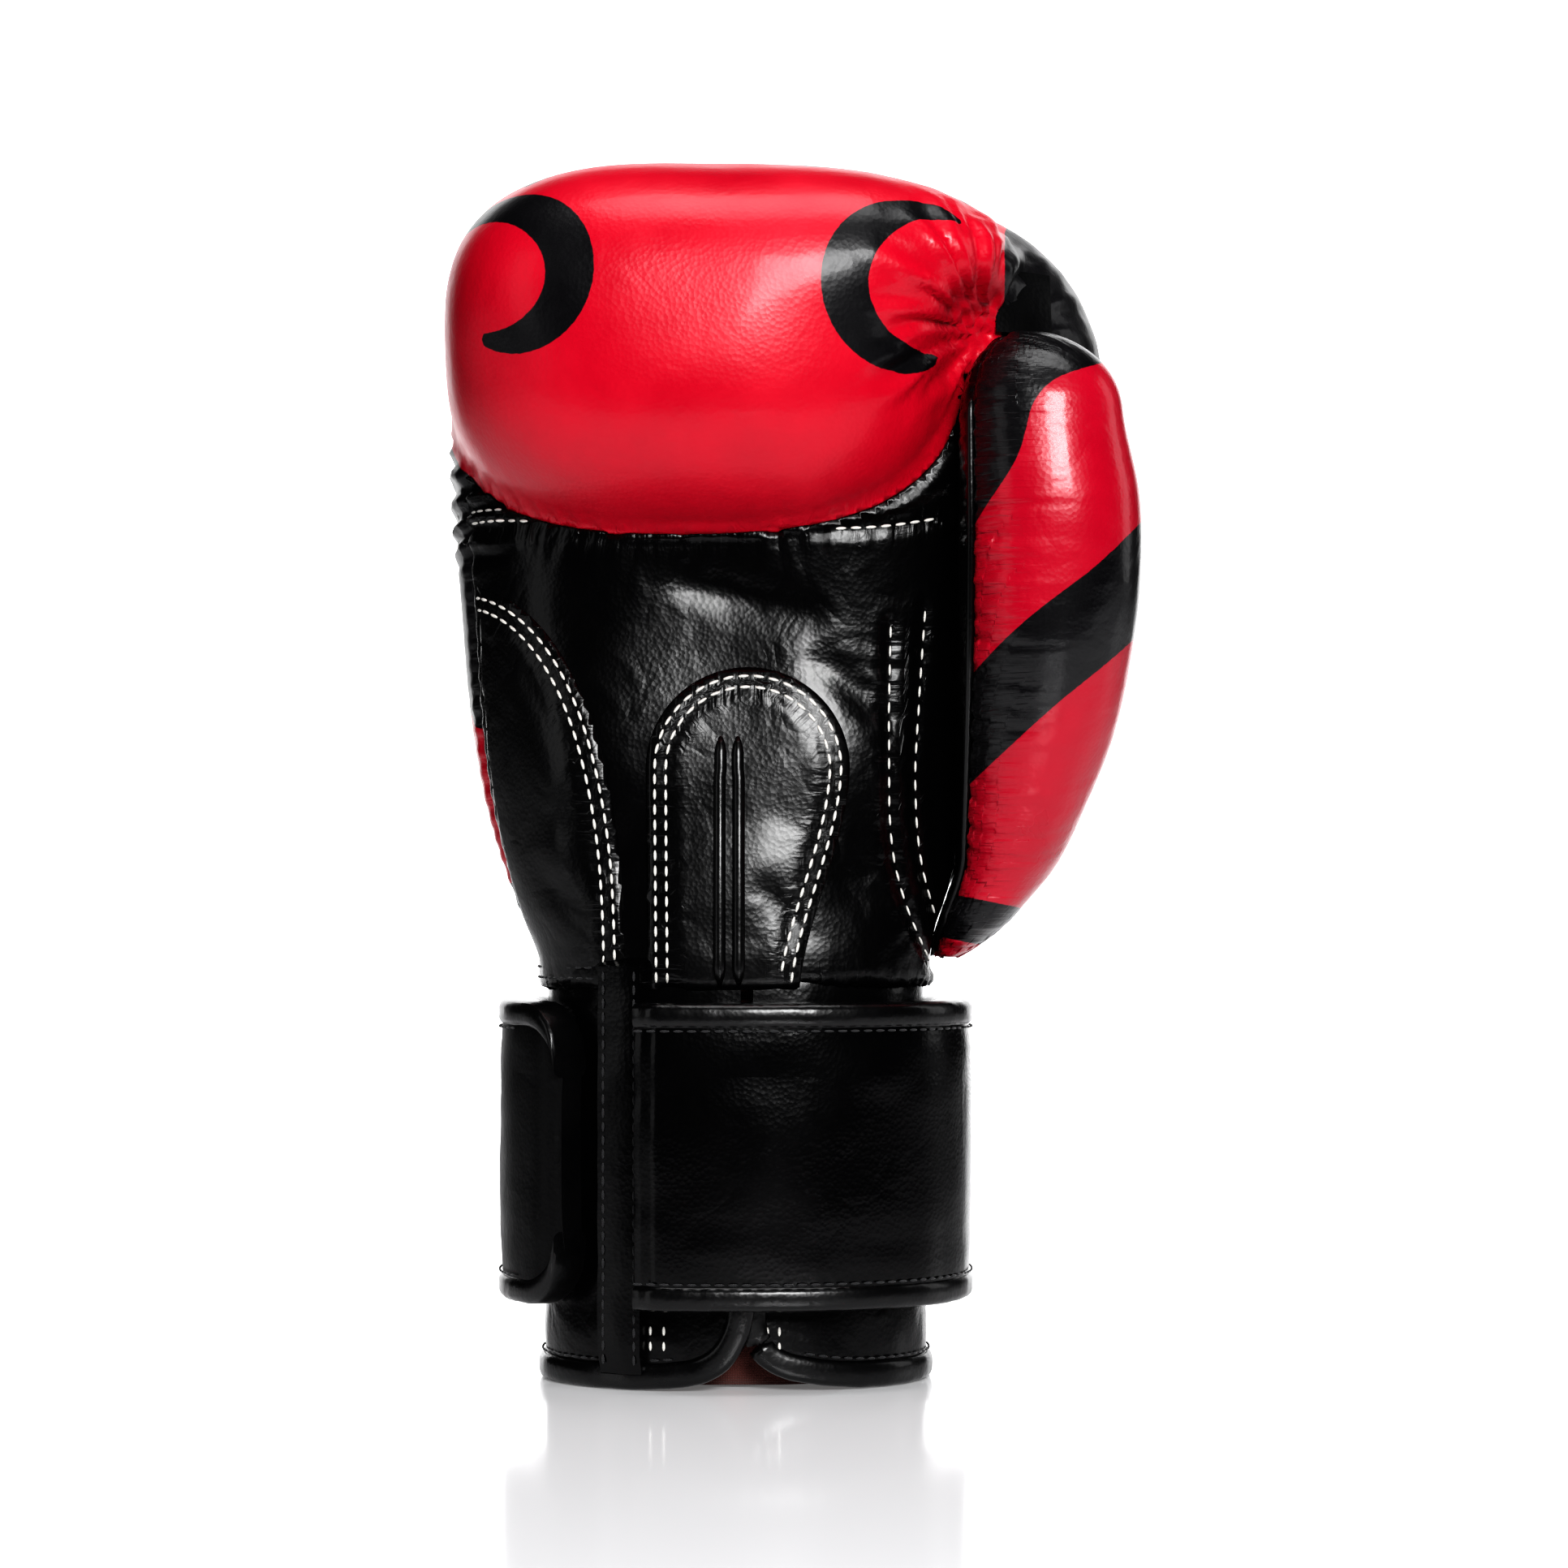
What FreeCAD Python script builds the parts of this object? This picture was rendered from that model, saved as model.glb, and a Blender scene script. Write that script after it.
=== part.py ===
"""Right-hand boxing glove with a foam-padded fist, an attached thumb and a wrap-round wrist strap.

The glove stands on its cuff. +Z points from the cuff to the fist, the palm faces -Y, the back of the
hand faces +Y and the thumb is at +X. The origin is the centre of the cuff's mouth, on the plane that
the rim stands on. Every layer (leather, foam, lining) is its own solid. The wrist strap is cut into
three rigid lengths at upright hinges, so that it can unwrap from the cuff, and the thumb is a body of
its own that leans away from the fist.
"""
import FreeCAD
import Part
import math
import os

# Overall sizes of the hand part, mm
glove_height = 299.0        # rim to the top of the fist
neck_height = 104.0         # where the cuff ends and the hand part starts
shoulder_height = 240.0     # widest level of the fist; the top is domed above it
fist_ulnar_reach = 72.0     # from the cuff's centre to the little-finger side
fist_thumb_reach = 92.0     # to the thumb side
back_reach = 70.0           # to the back of the hand
palm_reach = 34.0           # to the palm's face
dome_power = 2.6
section_power = 2.5

# Finger roll, the padded lobe that curls over the palm
lobe_left = -72.0
lobe_right = 56.0
lobe_front_reach = 67.0
lobe_back_reach = 60.0
lobe_bottom = 206.0
lobe_top_drop = 2.0         # the roll's crown lies this far under the fist's top
lobe_power = 2.4

# Thumb
thumb_base_height = 106.0
thumb_tip_height = 256.0
thumb_inner = 54.5          # its straight side, next to the palm
thumb_outer = 97.0
thumb_front = -59.0
thumb_back_at_base = 8.0
thumb_back_at_tip = -17.0
thumb_gap = 0.6             # free space between the thumb and the hand
thumb_panel_depth = 7.0     # how far the thumb's inner panel wraps round from its straight side
tether_width = 14.0
tether_length = 16.0
thumb_way_radius = 10.0     # passage from the hand compartment into the thumb
thumb_way_height = 142.0
thumb_way_y = -8.5

# Cuff
cuff_half_width = 47.0
cuff_half_depth = 39.0
cuff_power = 2.3
binding_height = 9.0
binding_wall = 1.3
slit_width = 2.4            # the palm slit that lets the hand in
slit_top = 150.0
slit_welt_radius = 2.0

# Layers
leather = 1.5
lining = 1.1
cuff_foam_thickness = 6.0
outer_foam_thickness = 15.0
ply_gap = 0.25              # between two layers that lie on each other
patch_leather = 1.2

# Strap
strap_bottom = 20.0
strap_height = 74.0
strap_backing = 1.2
strap_foam_thickness = 3.6
strap_binding_height = 7.5
strap_binding_wall = 1.1
strap_end_radius = 12.0
tape_thickness = 1.5        # hook tape, and the loop patch that it grips
tape_clearance = 0.4
tape_margin = 6.0           # the hook tape stops this far inside the strap's bindings
joint_gap = 0.6             # between two lengths of the strap
strap_root_angle = 242.0    # degrees round the cuff, from the thumb side, seen from above
thumb_side_angle = 355.0
back_angle = 496.0          # past one turn, so that the strap's angles only grow
strap_end_angle = 581.0
anchor_start_angle = 226.0
loop_patch_start = 25.0
loop_patch_end = 212.0
loop_patch_radius = 8.0
panel_edge_angle = 237.0    # the cuff panel's stitched edge, over the strap's root
panel_thumb_angle = 325.0

# Grip bar, a foam roll that the fingers close on
grip_bar_radius = 7.5
grip_bar_length = 56.0
grip_bar_height = 197.0
grip_bar_centre_x = -5.0
grip_bar_y = -12.5

# Hand compartment
hand_top = 258.0

OUT = "parts"
FAR = 400.0
POINTS_PER_OVAL = 28
Z_AXIS = FreeCAD.Vector(0, 0, 1)


# Ovals, lofts and other shared forms

def vec(x, y, z):
    return FreeCAD.Vector(x, y, z)


def oval_point(angle, half_a, half_b, power):
    """A point of a superellipse at a parameter angle in radians."""
    c, s = math.cos(angle), math.sin(angle)
    return (math.copysign(half_a * abs(c) ** (2 / power), c),
            math.copysign(half_b * abs(s) ** (2 / power), s))


def closed_spline(points):
    curve = Part.BSplineCurve()
    curve.interpolate(Points=points, PeriodicFlag=True)
    return Part.Wire([curve.toShape()])


def oval_angles():
    """Parameter angles, a little off the axes so that no two points crowd there."""
    return [2 * math.pi * (i + 0.5) / POINTS_PER_OVAL for i in range(POINTS_PER_OVAL)]


def flat_oval(left, right, front, back, z, power=section_power):
    """A closed curve at height z that fills the box from left to right and from front to back."""
    cx, cy = (left + right) / 2, (front + back) / 2
    half_a, half_b = (right - left) / 2, (back - front) / 2
    plane = [oval_point(a, half_a, half_b, power) for a in oval_angles()]
    return closed_spline([vec(cx + u, cy + v, z) for u, v in plane])


def side_oval(x, cy, cz, half_y, half_z, power):
    """A closed curve in the plane at x."""
    plane = [oval_point(a, half_y, half_z, power) for a in oval_angles()]
    return closed_spline([vec(x, cy + u, cz + v) for u, v in plane])


def loft(wires):
    return Part.makeLoft(wires, True, False)


def cuff_oval(offset, z):
    a, b = cuff_half_width + offset, cuff_half_depth + offset
    return flat_oval(-a, a, -b, b, z, cuff_power)


def cuff_radius(angle_deg, offset):
    """Distance from the cuff's axis to an oval that lies offset outside the cuff, at a true angle."""
    a, b = cuff_half_width + offset, cuff_half_depth + offset
    c, s = abs(math.cos(math.radians(angle_deg))), abs(math.sin(math.radians(angle_deg)))
    return ((c / a) ** cuff_power + (s / b) ** cuff_power) ** (-1 / cuff_power)


def cuff_point(angle_deg, offset, z=0.0):
    r = cuff_radius(angle_deg, offset)
    return vec(r * math.cos(math.radians(angle_deg)), r * math.sin(math.radians(angle_deg)), z)


def prism(wire, height):
    return Part.Face(wire).extrude(vec(0, 0, height))


def cuff_band(inner, outer, bottom, top):
    """A wall round the cuff, between two offsets of its oval."""
    height = top - bottom
    return prism(cuff_oval(outer, bottom), height).cut(prism(cuff_oval(inner, bottom), height))


def sector(start_deg, end_deg, bottom, top):
    """An upright wedge about the cuff's axis."""
    steps = max(2, int(math.ceil((end_deg - start_deg) / 30)))
    angles = [math.radians(start_deg + (end_deg - start_deg) * i / steps) for i in range(steps + 1)]
    rim = [vec(FAR * math.cos(a), FAR * math.sin(a), bottom) for a in angles]
    outline = Part.makePolygon([vec(0, 0, bottom)] + rim + [vec(0, 0, bottom)])
    return prism(outline, top - bottom)


def box(x0, x1, y0, y1, z0, z1):
    return Part.makeBox(x1 - x0, y1 - y0, z1 - z0, vec(x0, y0, z0))


def front_prism(outline, y_front, y_back):
    """A block with the outline (x, z) seen from the palm side, from y_front to y_back."""
    points = [vec(x, y_front, z) for x, z in outline]
    return Part.Face(Part.makePolygon(points + points[:1])).extrude(vec(0, y_back - y_front, 0))


def fuse_all(shapes):
    result = shapes[0]
    for shape in shapes[1:]:
        result = result.fuse(shape)
    return result


def save(name, shape):
    """Writes one node, without the slivers that a cut can leave."""
    kept = [s for s in shape.Solids if s.Volume > 5.0]
    result = kept[0] if len(kept) == 1 else Part.makeCompound(kept)
    result.exportStep(os.path.join(OUT, name + ".step"))
    print(f"{name:26s} solids {len(kept)}  volume {result.Volume / 1000:8.2f} cm3  valid {result.isValid()}")
    return result


# The hand part's form. Every layer is one of these forms, taken in by inset, less the next one.

# level between neck and shoulder, then how far each side has grown from the cuff to its full reach
CORE_GROWTH = [
    (0.00, 0.00, 0.00, 0.00),
    (0.08, 0.24, 0.11, 0.16),
    (0.20, 0.50, 0.22, 0.38),
    (0.42, 0.76, 0.34, 0.70),
    (0.64, 0.90, 0.50, 0.92),
    (0.82, 0.97, 0.72, 1.00),
    (1.00, 1.00, 1.00, 1.00),
]
DOME_ANGLES = (22, 42, 58, 71, 79, 84)


def core(inset):
    """The back of the hand and the fist, without the finger roll."""
    wires = []
    neck_side, neck_face = cuff_half_width + 1, cuff_half_depth
    for level, ulnar, thumb, back in CORE_GROWTH:
        z = neck_height + level * (shoulder_height - neck_height)
        front_now = neck_face + min(1.0, level * 4) * (palm_reach - neck_face)
        wires.append(flat_oval(-(neck_side + ulnar * (fist_ulnar_reach - neck_side)) + inset,
                               neck_side + thumb * (fist_thumb_reach - neck_side) - inset,
                               -front_now + inset,
                               neck_face + back * (back_reach - neck_face) - inset, z))
    middle_x = (fist_thumb_reach - fist_ulnar_reach) / 2
    middle_y = (back_reach - palm_reach) / 2
    half_x = (fist_thumb_reach + fist_ulnar_reach) / 2 - inset
    half_y = (back_reach + palm_reach) / 2 - inset
    rise = glove_height - inset - shoulder_height
    for degrees in DOME_ANGLES:
        a = math.radians(degrees)
        scale = math.cos(a) ** (2 / dome_power)
        z = shoulder_height + rise * math.sin(a) ** (2 / dome_power)
        wires.append(flat_oval(middle_x - half_x * scale, middle_x + half_x * scale,
                               middle_y - half_y * scale, middle_y + half_y * scale, z))
    return loft(wires)


LOBE_STATIONS = (-0.992, -0.95, -0.84, -0.62, -0.3, 0.0, 0.3, 0.62, 0.84, 0.95, 0.992)


def lobe(inset):
    """The finger roll, a superellipsoid with its long axis across the glove."""
    half_x = (lobe_right - lobe_left) / 2 - inset
    half_y = (lobe_front_reach + lobe_back_reach) / 2 - inset
    lobe_top = glove_height - lobe_top_drop
    half_z = (lobe_top - lobe_bottom) / 2 - inset
    cx, cy = (lobe_right + lobe_left) / 2, (lobe_back_reach - lobe_front_reach) / 2
    cz = (lobe_top + lobe_bottom) / 2
    wires = []
    for u in LOBE_STATIONS:
        scale = (1 - abs(u) ** lobe_power) ** (1 / lobe_power)
        wires.append(side_oval(cx + u * half_x, cy, cz, half_y * scale, half_z * scale, lobe_power))
    return loft(wires)


# level up the thumb, share of its width, share of its reach to the front, share of the back's shift
THUMB_GROWTH = [
    (0.00, 0.26, 0.30, 0.00),
    (0.12, 0.50, 0.52, 0.02),
    (0.30, 0.78, 0.74, 0.22),
    (0.50, 0.96, 0.92, 0.56),
    (0.70, 1.00, 1.00, 0.82),
    (0.86, 0.90, 0.98, 1.00),
]
THUMB_DOME_ANGLES = (30, 55, 74)


def thumb_form(inset):
    """The thumb: straight along the palm side, full outwards, domed at the tip."""
    width = thumb_outer - thumb_inner
    length = thumb_tip_height - thumb_base_height
    wires = []
    for level, wide, front, shift in THUMB_GROWTH:
        z = thumb_base_height + level * length
        if level == 0.0:
            z = z + inset
        wires.append(flat_oval(thumb_inner + inset, thumb_inner + wide * width - inset,
                               thumb_front * front + inset,
                               thumb_back_at_base + shift * (thumb_back_at_tip - thumb_back_at_base) - inset,
                               z, section_power - 0.3))
    level, wide, front, shift = THUMB_GROWTH[-1]
    cx, half_x = thumb_inner + wide * width / 2, wide * width / 2 - inset
    y0, y1 = thumb_front * front, thumb_back_at_tip
    cy, half_y = (y0 + y1) / 2, (y1 - y0) / 2 - inset
    base_z = thumb_base_height + level * length
    rise = thumb_tip_height - inset - base_z
    for degrees in THUMB_DOME_ANGLES:
        a = math.radians(degrees)
        wires.append(flat_oval(cx - half_x * math.cos(a), cx + half_x * math.cos(a),
                               cy - half_y * math.cos(a), cy + half_y * math.cos(a),
                               base_z + rise * math.sin(a), section_power - 0.3))
    return loft(wires)


def block(inset):
    """The whole hand part at one inset, hollowed where the thumb lies."""
    return core(inset).fuse(lobe(inset)).cut(thumb_form(-(inset + thumb_gap)))


# The hand compartment, shared by the lining, the foams and the hole in each cover

# level above the neck as a share of the pocket's height, left, right, front and back of the sleeve
SLEEVE = [
    (0.12, -43.0, 37.0, -28.0, 30.0),
    (0.30, -45.5, 35.5, -27.0, 29.0),
    (0.54, -45.5, 35.5, -26.0, 29.0),
    (0.71, -45.5, 35.5, -28.0, 28.0),
    (0.84, -45.0, 35.0, -41.0, 21.0),
    (0.93, -43.0, 33.0, -42.0, 12.0),
]


def compartment(grow):
    """The sleeve that the hand goes into, with the finger pocket at its top, grown by a distance."""
    wall = leather + cuff_foam_thickness + 2 * ply_gap + lining
    half_a, half_b = cuff_half_width - wall + grow, cuff_half_depth - wall + grow
    wires = [flat_oval(-half_a, half_a, -half_b, half_b, neck_height, cuff_power)]
    for level, left, right, front, back in SLEEVE:
        z = neck_height + level * (hand_top - neck_height)
        wires.append(flat_oval(left - grow, right + grow, front - grow, back + grow, z))
    level, left, right, front, back = SLEEVE[-1]
    end = 12.0
    wires.append(flat_oval(left + end - grow, right - end + grow, front + end - grow, back - end + grow,
                           hand_top + grow))
    mouth = prism(flat_oval(-half_a, half_a, -half_b, half_b, -1.0, cuff_power), neck_height + 1.0)
    return mouth.fuse(loft(wires))


def thumb_way(grow):
    """The passage between the hand compartment and the thumb."""
    start = vec(24.0, thumb_way_y, thumb_way_height)
    return Part.makeCylinder(thumb_way_radius + grow, 48, start, vec(1, 0, 0))


# height, middle of the pocket across and front to back, its half size
THUMB_POCKET = [
    (127.0, 66.5, -13.0, 5.5),
    (150.0, 71.0, -17.0, 10.5),
    (180.0, 75.0, -28.0, 12.5),
    (215.0, 76.0, -35.0, 12.5),
    (236.0, 75.5, -36.5, 9.0),
]


def thumb_pocket(grow):
    """The room for the thumb, grown by a distance."""
    wires = []
    for i, (z, x, y, half) in enumerate(THUMB_POCKET):
        end = -1 if i == 0 else (1 if i == len(THUMB_POCKET) - 1 else 0)
        r = half + grow
        wires.append(flat_oval(x - r, x + r, y - r, y + r, z + end * grow))
    return loft(wires)


def slit(grow):
    """The cut up the palm, from the rim to slit_top."""
    half = slit_width / 2 + grow
    return box(-half, half, -FAR, 0, -5, slit_top + grow)


# Outlines of the palm's pieces, seen from the palm side

def palm_outline(grow):
    """The palm's leather: up both sides and round under the finger roll."""
    left, right = -(fist_ulnar_reach - 9) - grow, thumb_inner - 4 + grow
    top = lobe_bottom + 7 + grow
    return [(left, neck_height), (left, top - 14), (left + 14, top), (right - 14, top),
            (right, top - 14), (right, neck_height)]


def heel_outline():
    """The ulnar overlay, whose inner edge curves from the side down to the neck."""
    edge_top, edge_bottom = neck_height + 92, neck_height + 0.5
    inner = [(-66.0, 0.0), (-56.0, -1.5), (-46.0, -8.0), (-38.5, -20.0), (-34.0, -36.0), (-30.5, -58.0)]
    points = [(x, edge_top + z) for x, z in inner]
    return points + [(-27.5, edge_bottom), (-FAR / 4, edge_bottom), (-FAR / 4, edge_top)]


def slit_patch_outline():
    """The inverted U round the slit: straight legs under a round head."""
    left, right, head = -20.5, 24.0, 173.0
    centre, radius = (left + right) / 2, (right - left) / 2
    arc = [(centre + radius * math.cos(math.radians(a)), head - radius + radius * math.sin(math.radians(a)))
           for a in range(0, 181, 15)]
    return [(right - 6, neck_height + 0.5)] + arc + [(left, neck_height + 0.5)]


def make_hand():
    """The padded hand part: covers, foams and linings."""
    outer = block(0)
    under_cover = block(leather)
    front = box(-FAR, FAR, -FAR, -14, 0, FAR)
    palm_zone = front_prism(palm_outline(0), -FAR, -18)
    palm_room = front_prism(palm_outline(ply_gap), -FAR, -18 + ply_gap)
    shell = outer.cut(under_cover)
    way = thumb_way(0)
    save("fist_cover", shell.cut(palm_room).cut(way))
    save("palm_panel", shell.common(palm_zone).cut(slit(0)).cut(way))

    foam_outer_face = block(leather + ply_gap)
    foam_inner_face = block(leather + ply_gap + outer_foam_thickness)
    core_face = block(leather + 2 * ply_gap + outer_foam_thickness)
    sleeve = compartment(lining + ply_gap)
    wide_way = thumb_way(lining + ply_gap)
    save("fist_outer_foam", foam_outer_face.cut(foam_inner_face).cut(palm_room).cut(sleeve).cut(wide_way))
    save("palm_foam", foam_outer_face.common(palm_zone).cut(sleeve).cut(wide_way).cut(slit(slit_welt_radius)))
    save("knuckle_foam", core_face.cut(palm_room).cut(sleeve).cut(wide_way))

    bag = compartment(lining).cut(compartment(0)).cut(way)
    above_mouth = box(-FAR, FAR, -FAR, FAR, binding_wall + ply_gap, FAR)
    save("hand_lining", bag.common(above_mouth).cut(slit(0)))

    overlay = block(-(patch_leather + ply_gap)).cut(block(-ply_gap)).common(front)
    heel = front_prism(heel_outline(), -FAR, -12)
    save("heel_patch", overlay.common(heel))
    reinforcement = overlay.common(front_prism(slit_patch_outline(), -FAR, -12))
    save("slit_patch", reinforcement.cut(slit(2 * slit_welt_radius + ply_gap)))


def make_slit_welts():
    """Two bound edges, one each side of the slit, on the hand part and the cuff above the strap."""
    side = slit_width / 2 + slit_welt_radius
    y_out = -palm_reach - patch_leather - ply_gap
    bottom, top = neck_height + 6, slit_top - 2
    rods = [Part.makeCylinder(slit_welt_radius - 0.2, top - bottom, vec(s * side, y_out - 0.6, bottom), Z_AXIS)
            for s in (-1, 1)]
    keep_off = block(-ply_gap)
    save("slit_welts", fuse_all([r.cut(keep_off) for r in rods]))


def make_grip_bar():
    start = vec(grip_bar_centre_x - grip_bar_length / 2, grip_bar_y, grip_bar_height)
    save("grip_bar", Part.makeCylinder(grip_bar_radius, grip_bar_length, start, vec(1, 0, 0)))


def make_cuff():
    """The cuff's leather, foam, rim binding, edge strip and loop patch."""
    top = neck_height - ply_gap
    bottom = binding_wall + ply_gap
    leg = binding_height
    wall = cuff_band(-leather, 0, bottom, top).cut(slit(0))
    save("cuff_panel", wall.common(sector(panel_thumb_angle - 360 + 0.3, panel_edge_angle, bottom, top)))
    save("cuff_flaps", wall.common(sector(panel_edge_angle + 0.3, panel_thumb_angle, bottom, top)))
    foam_out = -(leather + ply_gap)
    foam = cuff_band(foam_out - cuff_foam_thickness, foam_out, leg + ply_gap, top)
    save("cuff_foam", foam.cut(slit(0)))

    lining_in = foam_out - cuff_foam_thickness - ply_gap - lining
    channel = cuff_band(lining_in - ply_gap - binding_wall, ply_gap + binding_wall, 0, leg)
    # the cuff's layers fill the binding's channel, so it is cut to their thickness
    channel = channel.cut(cuff_band(lining_in - ply_gap, ply_gap, binding_wall, leg + 1))
    save("cuff_binding", channel.cut(slit(0)))

    strip = cuff_band(ply_gap, ply_gap + patch_leather, top - 9, top)
    save("neck_band", strip.common(sector(loop_patch_start, anchor_start_angle - 0.5, 0, FAR)))

    patch = cuff_band(ply_gap, ply_gap + tape_thickness, strap_bottom, strap_bottom + strap_height - 1)
    patch = patch.common(sector(loop_patch_start, loop_patch_end, 0, FAR))
    save("loop_patch", round_free_end(patch, loop_patch_end, loop_patch_radius))


def round_free_end(band, end_angle, radius):
    """Rounds the two corners of a band's end at end_angle, by cutting outside two corner cylinders."""
    low, high = band.BoundBox.ZMin, band.BoundBox.ZMax
    end = math.radians(end_angle)
    out = vec(math.cos(end), math.sin(end), 0)
    along = vec(-math.sin(end), math.cos(end), 0)
    surface = cuff_point(end_angle, tape_thickness)
    turn = FreeCAD.Rotation(out, along, Z_AXIS, "XYZ")
    for z, up in ((low, 1), (high, -1)):
        rod = Part.makeCylinder(radius, 120, surface - along * radius - out * 60 + Z_AXIS * (z + up * radius), out)
        corner = Part.makeBox(120, radius + 10, radius + 2)
        base = z - 2 if up > 0 else z - radius
        corner.Placement = FreeCAD.Placement(surface - along * radius - out * 60 + Z_AXIS * base, turn)
        band = band.cut(corner.cut(rod))
    return band


# The strap's layers, as offsets outside the cuff's oval
HOOK_IN = ply_gap + tape_thickness + tape_clearance
BACKING_IN = HOOK_IN + tape_thickness + ply_gap
FOAM_IN = BACKING_IN + strap_backing + ply_gap
COVER_IN = FOAM_IN + strap_foam_thickness + ply_gap
STRAP_OUT = COVER_IN + leather
BINDING_IN = BACKING_IN - ply_gap - strap_binding_wall
BINDING_OUT = STRAP_OUT + ply_gap + strap_binding_wall


def strap_length(name, start, end, hooked, free_end):
    """One rigid length of the strap, from one angle round the cuff to another."""
    low, high = strap_bottom, strap_bottom + strap_height
    core_low = low + strap_binding_wall + ply_gap
    core_high = high - strap_binding_wall - ply_gap
    half_gap = math.degrees(joint_gap / 2 / cuff_half_width)
    wedge = sector(start + half_gap, end - half_gap, -FAR, FAR)
    tape_wedge = sector(start + 4, end - 4, -FAR, FAR)

    def part_of(shape, cut_by=wedge):
        piece = shape.common(cut_by)
        return round_free_end(piece, end, strap_end_radius) if free_end else piece

    save(name + "_cover", part_of(cuff_band(COVER_IN, STRAP_OUT, core_low, core_high)))
    save(name + "_foam", part_of(cuff_band(FOAM_IN, COVER_IN - ply_gap, core_low, core_high)))
    save(name + "_backing", part_of(cuff_band(BACKING_IN, FOAM_IN - ply_gap, core_low, core_high)))
    rims = []
    for z0, z1 in ((low, low + strap_binding_height), (high - strap_binding_height, high)):
        rims.append(cuff_band(BINDING_IN, BINDING_OUT, z0, z1))
    hollow = cuff_band(BACKING_IN - ply_gap, STRAP_OUT + ply_gap, core_low - ply_gap, core_high + ply_gap)
    channel = [part_of(r.cut(hollow)) for r in rims]
    save(name + "_binding", Part.makeCompound([s for c in channel for s in c.Solids]))
    if hooked:
        edge = strap_binding_height + tape_margin
        tape = cuff_band(HOOK_IN, HOOK_IN + tape_thickness, low + edge, high - edge)
        save(name + "_hook_tape", tape.common(tape_wedge))


def make_strap():
    low, high = strap_bottom, strap_bottom + strap_height
    root = cuff_band(ply_gap, ply_gap + 3.0, low + 2, high - 2)
    save("strap_root", root.common(sector(anchor_start_angle + 4, strap_root_angle - 1, -FAR, FAR)))
    over_root = cuff_band(3.0 + 2 * ply_gap, 3.0 + 2 * ply_gap + patch_leather, binding_height + 1, neck_height - 1)
    save("anchor_strip", over_root.common(sector(anchor_start_angle, strap_root_angle - 1, -FAR, FAR)))
    strap_length("strap_front", strap_root_angle, thumb_side_angle, False, False)
    strap_length("strap_back", thumb_side_angle, back_angle, True, False)
    strap_length("strap_end", back_angle, strap_end_angle, True, True)


def make_thumb():
    """The thumb's own layers: cover, palm-side panel, foam and pocket lining."""
    skin = thumb_form(0).cut(thumb_form(leather))
    way = thumb_way(0)
    split = thumb_inner + thumb_panel_depth
    inner_side = box(-FAR, split, -FAR, FAR, -FAR, FAR)
    outer_side = box(split + ply_gap, FAR, -FAR, FAR, -FAR, FAR)
    save("thumb_cover", skin.common(outer_side))
    save("thumb_inner_panel", skin.common(inner_side).cut(way))
    padding = thumb_form(leather + ply_gap).cut(thumb_pocket(lining + ply_gap))
    save("thumb_foam", padding.cut(thumb_way(lining + ply_gap)))
    save("thumb_lining", thumb_pocket(lining).cut(thumb_pocket(0)).cut(way))


def make_tether():
    """A leather tab on the fist, right over the thumb's tip, that ties the thumb back."""
    tab = block(-(patch_leather + ply_gap)).cut(block(-ply_gap))
    width, z0 = tether_width, thumb_tip_height + 1.0
    middle = (thumb_inner + thumb_outer) / 2 - 5
    outline = [(middle - width / 2, z0), (middle - width / 2, z0 + tether_length),
               (middle + width / 2, z0 + tether_length), (middle + width / 2, z0)]
    save("thumb_tether", tab.common(front_prism(outline, -FAR, 0)))


def make_thumb_welt():
    """Piping round the front of the thumb, over the seam between its cover and its inner panel."""
    split = thumb_inner + thumb_panel_depth
    roll = thumb_form(-(ply_gap + 1.4)).cut(thumb_form(-ply_gap))
    save("thumb_welt", roll.common(box(split - 1.0, split + 1.2, -FAR, -palm_reach - 4, 0, FAR)))


def main():
    os.makedirs(OUT, exist_ok=True)
    make_cuff()
    make_strap()
    make_grip_bar()
    make_thumb()
    make_hand()
    make_slit_welts()
    make_tether()
    make_thumb_welt()


main()
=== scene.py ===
import math
import time

import bmesh
import bpy
import numpy as np
from mathutils import Matrix, Vector, noise
from mathutils.bvhtree import BVHTree
from mathutils.kdtree import KDTree


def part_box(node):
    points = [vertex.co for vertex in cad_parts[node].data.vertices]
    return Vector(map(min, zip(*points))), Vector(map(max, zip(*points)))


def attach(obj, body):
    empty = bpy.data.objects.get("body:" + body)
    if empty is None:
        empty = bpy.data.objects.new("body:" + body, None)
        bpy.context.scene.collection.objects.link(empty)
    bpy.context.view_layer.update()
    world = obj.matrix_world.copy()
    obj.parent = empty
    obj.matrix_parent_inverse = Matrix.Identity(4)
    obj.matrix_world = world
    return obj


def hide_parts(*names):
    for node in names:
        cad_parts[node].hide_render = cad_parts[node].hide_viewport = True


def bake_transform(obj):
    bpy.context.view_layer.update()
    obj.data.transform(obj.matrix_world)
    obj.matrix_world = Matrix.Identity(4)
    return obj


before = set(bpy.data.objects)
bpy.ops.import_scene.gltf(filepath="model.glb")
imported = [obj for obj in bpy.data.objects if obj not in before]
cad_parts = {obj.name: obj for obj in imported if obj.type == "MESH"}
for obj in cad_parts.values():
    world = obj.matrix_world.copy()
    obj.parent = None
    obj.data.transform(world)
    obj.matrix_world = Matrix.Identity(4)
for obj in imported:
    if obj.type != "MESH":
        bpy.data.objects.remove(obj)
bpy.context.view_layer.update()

mm = 0.001
clockStart = time.time()

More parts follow.
